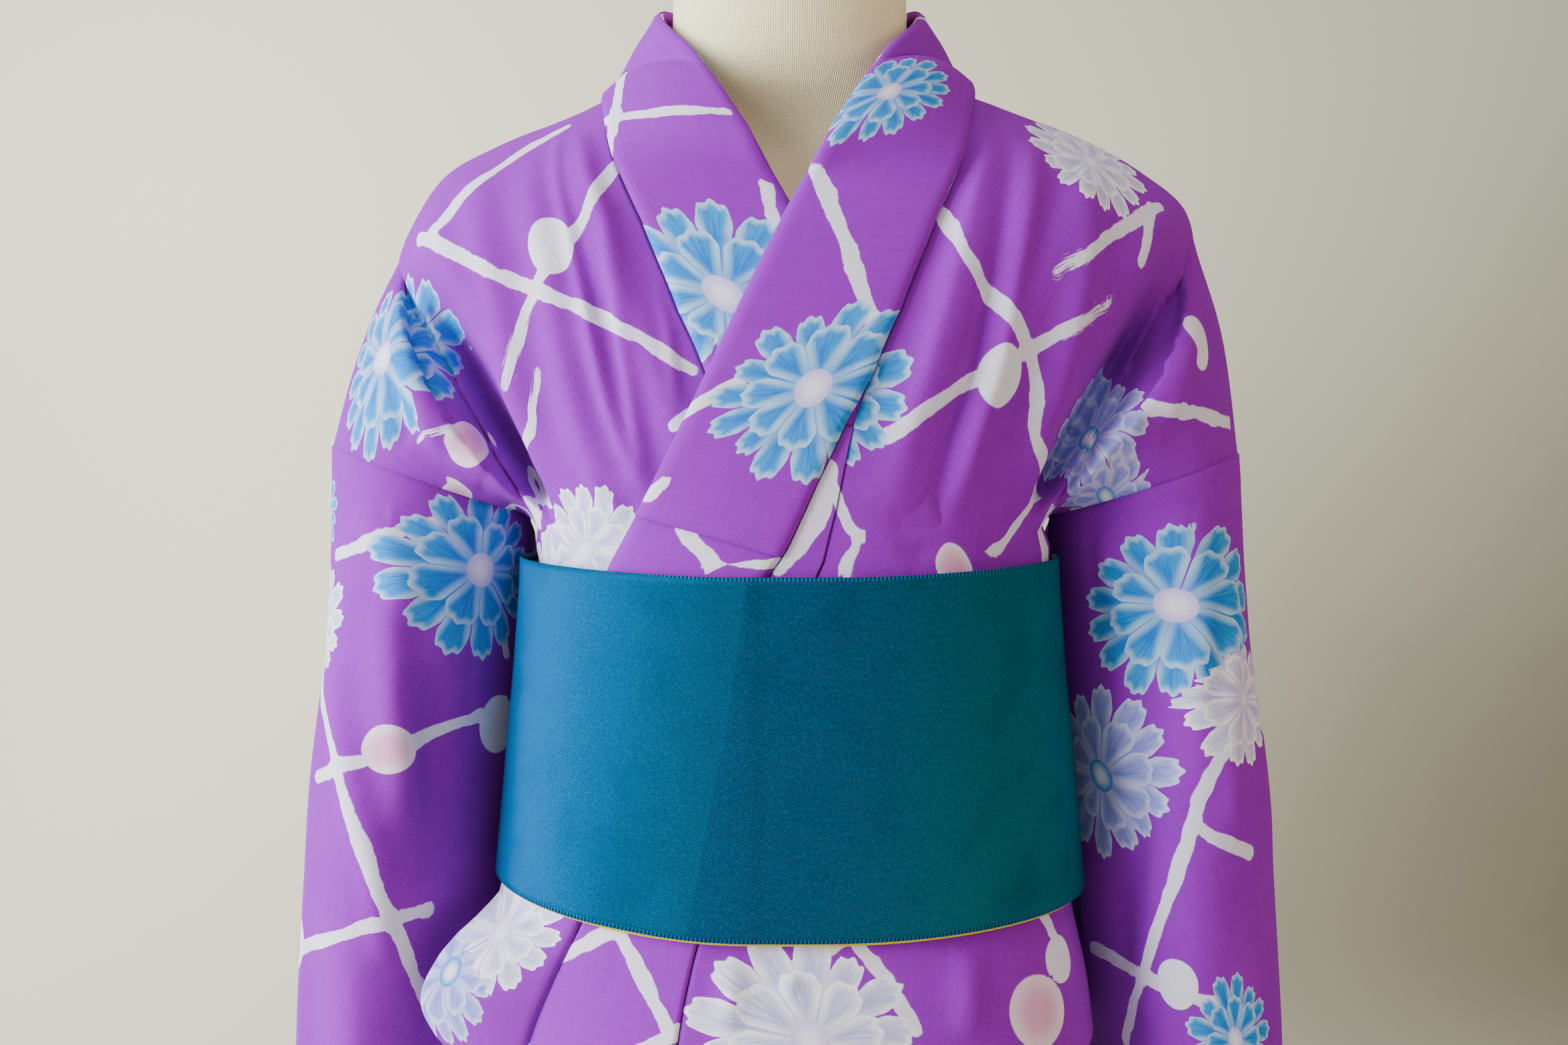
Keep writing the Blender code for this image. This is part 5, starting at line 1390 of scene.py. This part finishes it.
def printedCotton():
    made, tree, shader = material("printedCotton", cotton["fixed"])
    uv = tree.node("UVMap", {"uv_map": "cloth"})
    place, look, stroke = (
        tree.node("Attribute", {"attribute_name": name}, "Vector")
        for name in ("motifPlace", "motifLook", "stroke")
    )
    gap = tree.node("Attribute", {"attribute_name": "strokeGap"}, "Fac")
    tone = {key: colour(*value) for key, value in cotton.items() if isinstance(value, tuple)}
    kind, turn, seed = (look.part(axis) for axis in "XYZ")
    centreX, centreY, radius = (place.part(axis) for axis in "XYZ")
    x, y = (uv.part("X") - centreX) / radius, (uv.part("Y") - centreY) / radius
    reach = (x * x + y * y).maths("SQRT") + (uv.noise(900.0, 2.0) - 0.5) * 0.03
    angle = y.maths("ARCTAN2", x) + turn
    lopsided = 1.0 + cotton["lopsided"] * (angle + seed * 2.0).maths("COSINE")
    isWhite, isLavender = (kind.maths("COMPARE", value, 0.1) for value in (1.0, 2.0))
    isFlower = kind.maths("LESS_THAN", 2.5)
    isPink = kind.maths("GREATER_THAN", 3.5)

    def byKind(names):
        first = isWhite.blend(colour(*names["blue"]), colour(*names["white"]))
        return isLavender.blend(first, colour(*names["lavender"]))

    deep, bodyTone, rimTone, heart = (byKind(cotton[name]) for name in ("deep", "body", "rim", "heart"))

    def petalLayer(count, size, shift):
        sector = (angle + seed * 0.7 + shift) * (count / math.tau)
        index = (sector + 0.5).maths("FLOOR")
        wrapped = index.maths("FLOORED_MODULO", float(count))
        chance = (wrapped * 1.37 + seed * 3.1 + shift).chance()
        other = (wrapped * 2.11 + seed + shift).chance()
        offset = sector - index + (other - 0.5) * cotton["petalShift"]
        length = lopsided * size * (0.84 + 0.16 * chance)
        down = reach / length
        side = abs(offset) * (2.0 / (0.96 + 0.08 * other))
        ends = (1.0 - side * side).maths("MAXIMUM", 0.0).maths("SQRT")
        wave = (side * (3.6 * math.pi)).maths("COSINE")
        tip = cotton["tip"] + cotton["tipRound"] * ends + cotton["tipWave"] * wave
        sideDepth = (1.0 - side) * reach * (math.pi / count)
        depth = sideDepth.maths("MINIMUM", (tip - down) * length)
        mask = depth.between(0.0, 0.010)
        rim = depth.between(0.018, 0.105, 1.0, 0.0)
        line = depth.between(0.0, 0.013, 0.55, 0.0)
        grain = tree.node("CombineXYZ", None, 0, X=offset * 9.0, Y=down * 1.3, Z=chance * 9.0 + shift)
        lightness = (grain.noise(2.2, 3.0, 0.6) - 0.5) * 1.5 + down * 0.60 + side * 0.15
        petal = lightness.between(0.05, 0.90).blend(deep, bodyTone)
        petal = (rim * (0.55 + 0.45 * down.between(0.2, 0.75))).blend(petal, rimTone)
        petal = (down.between(0.28, 0.10) * 0.55).blend(petal, tone["heartLight"])
        return mask, line.blend(petal, isWhite.blend(colour(*cotton["rim"]["blue"]), tone["outline"]))

    innerSize = cotton["innerReach"]
    outer, outerTone = petalLayer(cotton["outerPetals"], 1.0, 0.0)
    inner, innerTone = petalLayer(cotton["innerPetals"], innerSize, cotton["innerTurn"])
    shade = reach.between(innerSize * 0.80, innerSize * 1.02, 0.42, 0.0)
    flower = inner.blend(shade.blend(outerTone, deep), innerTone)
    heartReach = (x * x * 1.25 + y * y * 0.86 + x * y * 0.35).maths("SQRT") / cotton["heartSize"]
    heartShade = heartReach.between(0.15, 1.0) + (uv.noise(700.0) - 0.5) * 0.5
    heartMask = heartReach.between(1.04, 0.96)
    flower = heartMask.blend(flower, heartShade.blend(tone["heartLight"], heart))
    flowerMask = isFlower * outer.maths("MAXIMUM", inner).maths("MAXIMUM", heartMask)
    dotTone = isPink.blend(tone["white"], reach.between(0.35, 1.0).blend(tone["dotPink"], tone["dotRim"]))
    dotMask = (1.0 - isFlower) * reach.between(1.02, 0.96)

    fine = cotton["slub"]
    slub = (uv.scaled(30.0, fine, 1.0).noise(1.0, 2.0) + uv.scaled(fine, 34.0, 1.0).noise(1.0, 2.0)) * 0.5
    patch = uv.noise(26.0, 3.0) * 0.6 + (slub - 0.5) * 2.2 + 0.2
    across, run, dry = (stroke.part(axis) for axis in "XYZ")
    brush = tree.node("CombineXYZ", None, 0, X=across * cotton["bristles"], Y=run * 45.0, Z=0.0)
    bristle = brush.noise(1.0, 2.0)
    edge = gap + (uv.noise(190.0, 2.0) - 0.5) * cotton["strokeFray"]
    edge = edge + dry * (bristle - 0.40) * cotton["strokeDry"]
    white = (uv.noise(60.0, 3.0) * 0.30 + bristle * 0.16).blend(tone["white"], tone["whiteShade"])
    cloth = edge.between(cotton["strokeEdge"], -cotton["strokeEdge"]).blend(
        patch.blend(tone["groundDark"], tone["ground"]), white,
    )
    cloth = flowerMask.blend(dotMask.blend(cloth, dotTone), flower)
    (slub.between(0.30, 0.70) * cotton["threads"]).blend(cloth, tone["thread"]).feed(shader, "Base Color")
    weaveU, weaveV = ((uv.part(axis) * (math.tau / cotton["weavePitch"])).maths("SINE") for axis in "XY")
    height = weaveU * weaveV * 0.35 + slub + uv.noise(140.0, 3.0) * 1.2
    height.press(shader, cotton["bump"], cotton["depth"])
    return made


satin = {
    # left, middle and right are painted light: the teal lighter where the left lamp falls, darker round the
    # front, greener on the right
    "left": (0, 92, 150), "middle": (0, 84, 112), "right": (8, 130, 122),
    # light is the colour of the painted twill highlights and of the edge's lighter stitches
    "dark": (0, 30, 56), "light": (0, 122, 172), "reverse": (238, 206, 50),
    "reverseEdge": 0.004, "stepAt": 0.381, "stepBlur": 0.0006, "stepShade": 0.26,
    "pitch": 0.00120, "edge": 0.0018, "tick": 0.0019, "height": 0.165, "front": 0.397,
    "bump": 0.45, "depth": 0.0004, "roughness": 0.50,
    "fixed": {"Specular IOR Level": 0.10, "Metallic": 0.35, "Specular Tint": (0.05, 0.62, 0.95, 1.0)},
}


def obiSatin(name, plainEdge=False, reverse=False):
    made, tree, shader = material(name, satin["fixed"])
    uv = tree.node("UVMap", {"uv_map": "cloth"})
    u, v = uv.part("X"), uv.part("Y")
    front, stepAt, blur = satin["front"], satin["stepAt"], satin["stepBlur"]
    dark, light = colour(*satin["dark"]), colour(*satin["light"])
    wander = uv.noise(38.0, 3.0)
    twill = ((u - v) * (math.tau / satin["pitch"]) + (uv.noise(420.0, 1.0) - 0.5) * 1.6).maths("SINE")
    across = uv.scaled(60.0, 2600.0, 1.0).noise(1.0, 2.0)
    # painted light: the wrap's teal lighter on the left, darker at the front and greener on the right
    tone = u.between(front - 0.15, front - 0.01).blend(colour(*satin["left"]), colour(*satin["middle"]))
    tone = u.between(front + 0.02, front + 0.17).blend(tone, colour(*satin["right"]))
    # painted shade: the outer wrap darker beyond its step
    tone = u.between(stepAt - blur, stepAt + blur, 0.0, satin["stepShade"]).blend(tone, dark)
    tone = twill.between(-0.9, 0.6, 0.62, 0.0).blend(tone, dark)
    # painted highlight: the twill's raised lines and fine specks lightened
    glint = twill.between(0.45, 1.0) * 0.28 + (uv.noise(1400.0, 1.0) - 0.45) * 0.7
    tone = (glint + (uv.noise(620.0, 1.0) - 0.5) * 0.6 + (across - 0.5) * 0.2).blend(tone, light)
    # random darker patches and streaks running across the band
    mottle = (wander - 0.5) * 0.7 + (uv.scaled(16.0, 3.0, 1.0).noise(1.0, 2.0) - 0.5) * 0.7
    tone = mottle.blend(tone, dark)
    height = twill * 0.5 + across * 0.8 + wander * 1.5
    if not plainEdge:
        border = abs(v).maths("MINIMUM", abs(v + satin["height"]))
        rib = border.between(satin["edge"] * 0.9, satin["edge"] * 1.1, 1.0, 0.0)
        tick = (u * (math.tau / satin["tick"])).maths("SINE").between(-0.2, 0.3)
        tone = (rib * tick * 0.55).blend(tone, light)
        tone = (rib * (1.0 - tick) * 0.6).blend(tone, dark)
        height = height + rib * tick * 1.5
    if reverse:
        bare = abs(v).between(satin["reverseEdge"] * 1.2, satin["reverseEdge"])
        tone = bare.blend(tone, colour(*satin["reverse"]))
    tone.feed(shader, "Base Color")
    (satin["roughness"] + (across - 0.5) * 0.16 + (wander - 0.5) * 0.12).feed(shader, "Roughness")
    height.press(shader, satin["bump"], satin["depth"])
    return made


knit = {
    "cream": (255, 240, 190), "shade": (236, 216, 150), "ribs": 300.0, "course": 0.0022,
    "bump": 0.35, "depth": 0.0005, "fixed": {"Roughness": 0.9, "Sheen Weight": 0.2},
}


def formKnit():
    made, tree, shader = material("formKnit", knit["fixed"])
    place = tree.node("TexCoord", None, "Object")
    x, y, z = (place.part(axis) for axis in "XYZ")
    rib = (x.maths("ARCTAN2", y) * knit["ribs"]).maths("SINE")
    course = (z * (math.tau / knit["course"]) + rib * 0.8).maths("SINE")
    # painted shade: the cream darker in the rib grooves; the noise adds random tone
    shade = rib.between(-1.0, 0.4, 0.30, 0.0) + (place.noise(14.0, 3.0) - 0.5) * 0.35
    shade.blend(colour(*knit["cream"]), colour(*knit["shade"])).feed(shader, "Base Color")
    (rib * 0.7 + course * 0.3 + place.noise(160.0, 2.0) * 0.8).press(shader, knit["bump"], knit["depth"])
    return made


wood = {
    "light": (196, 150, 98), "dark": (140, 92, 52), "roughness": 0.38, "bump": 0.15, "depth": 0.0004,
    "fixed": {"Coat Weight": 0.3},
}


def capWood():
    made, tree, shader = material("capWood", wood["fixed"])
    place = tree.node("TexCoord", None, "Object")
    grain = place.scaled(1.0, 9.0, 4.0).noise(26.0, 4.0, 0.6)
    fine = place.scaled(12.0, 300.0, 60.0).noise(4.0, 2.0)
    tone = (grain * 0.8 + fine * 0.35 - 0.1).blend(colour(*wood["light"]), colour(*wood["dark"]))
    tone.feed(shader, "Base Color")
    (wood["roughness"] + grain * 0.18).feed(shader, "Roughness")
    (grain + fine).press(shader, wood["bump"], wood["depth"])
    return made


steel = {
    "light": (168, 170, 172), "dark": (112, 114, 118), "roughness": 0.26, "bump": 0.06, "depth": 0.0003,
    "fixed": {"Metallic": 1.0},
}


def standMetal():
    made, tree, shader = material("standMetal", steel["fixed"])
    place = tree.node("TexCoord", None, "Object")
    brushed = place.scaled(900.0, 900.0, 12.0).noise(1.0, 2.0)
    mottle = place.noise(9.0, 4.0)
    tone = (brushed * 0.6 + mottle * 0.4).blend(colour(*steel["light"]), colour(*steel["dark"]))
    tone.feed(shader, "Base Color")
    (steel["roughness"] + brushed * 0.10 + mottle * 0.16).feed(shader, "Roughness")
    brushed.press(shader, steel["bump"], steel["depth"])
    return made


cottonLook, metalLook = printedCotton(), standMetal()
knotLook = obiSatin("obiKnotSatin", plainEdge=True)
looks = {
    "obiInner": obiSatin("obiReverse", reverse=True), "obiOuter": obiSatin("obiSatin"),
    "obiFold": knotLook, "obiTie": knotLook, "form": formKnit(),
}
for key, piece in pieces.items():
    piece.data.materials.append(looks.get(key, cottonLook))
for name, look in (("form_neck_cap", capWood()), ("stand_pole", metalLook), ("stand_base", metalLook)):
    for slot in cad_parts[name].material_slots:
        slot.material = look


# studio: a pale floor swept up into a wall, lit softly, cooler from the left
studio = {
    "wall": (232, 228, 202), "wallPaintedShade": (112, 100, 76), "floor": (222, 216, 206),
    "floorEnd": (1.0, 2.6), "paint": {"Roughness": 0.95}, "bump": 0.05, "depth": 0.002,
    "wallBehind": 3.3, "bend": 1.6, "bendSteps": 32, "wide": 7.0, "tall": 5.0,
    "left": {"place": (-2.3, -0.95, 1.65), "size": (1.9, 2.2), "power": 205, "colour": (0.86, 0.93, 1.0)},
    "right": {"place": (2.3, -1.1, 1.6), "size": (1.4, 1.8), "power": 20, "colour": (1.0, 0.70, 0.46)},
    "above": {"place": (0.1, -1.0, 3.0), "size": (2.6, 2.6), "power": 22, "colour": (1.0, 0.97, 0.93)},
    "behind": {
        "place": (-1.9, 1.3, 2.3), "size": (2.2, 1.6), "power": 80, "colour": (1.0, 0.99, 0.94),
        "aim": (-0.8, 3.3, 1.2),
    },
    "aim": (0, 0, 1.1), "air": (0.86, 0.88, 0.90), "airStrength": 0.23,
}


def stageLook(name):  # pale floor running up into a wall with painted shade, darker towards its lower right
    made, tree, shader = material(name, studio["paint"])
    place = tree.node("TexCoord", None, "Object")
    # painted shade: the wall darker lower down and towards the right
    slope = place.part("Z") * -0.30 + place.part("X") * 0.20 + 0.50 + (place.noise(0.8, 3.0) - 0.5) * 0.12
    wall = slope.between(0.0, 1.0).blend(colour(*studio["wall"]), colour(*studio["wallPaintedShade"]))
    far = place.part("Y").between(*studio["floorEnd"])
    far.blend(colour(*studio["floor"]), wall).feed(shader, "Base Color")
    place.noise(160.0, 3.0).press(shader, studio["bump"], studio["depth"])
    return made


def backdrop():  # one sweep: flat floor, a wide bend and an upright wall
    far, bend, wide = studio["wallBehind"], studio["bend"], studio["wide"]
    profile = [(-wide, 0.0)]
    for k in range(studio["bendSteps"] + 1):
        angle = math.pi / 2 * k / studio["bendSteps"]
        profile.append((far - bend + bend * math.sin(angle), bend - bend * math.cos(angle)))
    profile.append((far, studio["tall"]))
    corners = [(x, y, z) for y, z in profile for x in (-wide, wide)]
    faces = [(2 * k, 2 * k + 1, 2 * k + 3, 2 * k + 2) for k in range(len(profile) - 1)]
    mesh = bpy.data.meshes.new("backdrop")
    mesh.from_pydata(corners, [], faces)
    mesh.shade_smooth()
    mesh.materials.append(stageLook("backdropPaint"))
    placed("backdrop", mesh)


print("stage: studio")
backdrop()
for name in ("left", "right", "above", "behind"):
    light = studio[name]
    made = placed(name + "Light", bpy.data.lights.new(name + "Light", "AREA"))
    made.data.shape = "RECTANGLE"
    made.data.size, made.data.size_y = light["size"]
    made.data.energy = light["power"]
    made.data.color = light["colour"]
    made.location = light["place"]
    aim = Vector(light.get("aim", studio["aim"])) - Vector(light["place"])
    made.rotation_euler = aim.to_track_quat("-Z", "Y").to_euler()
    made.visible_camera = False
world = bpy.data.worlds.new("studio")
bpy.context.scene.world = world
world.use_nodes = True
air = world.node_tree.nodes["Background"].inputs
air["Color"].default_value = (*studio["air"], 1.0)
air["Strength"].default_value = studio["airStrength"]


view = {"place": (-0.003, -0.8, 1.135), "turn": (math.pi / 2, 0.0, 0.0), "lens": 35.06, "sensor": 36.0}
print("stage: camera")
camera = placed("camera", bpy.data.cameras.new("camera"))
camera.location = view["place"]
camera.rotation_euler = view["turn"]
camera.data.lens = view["lens"]
camera.data.sensor_width = view["sensor"]
bpy.context.scene.camera = camera
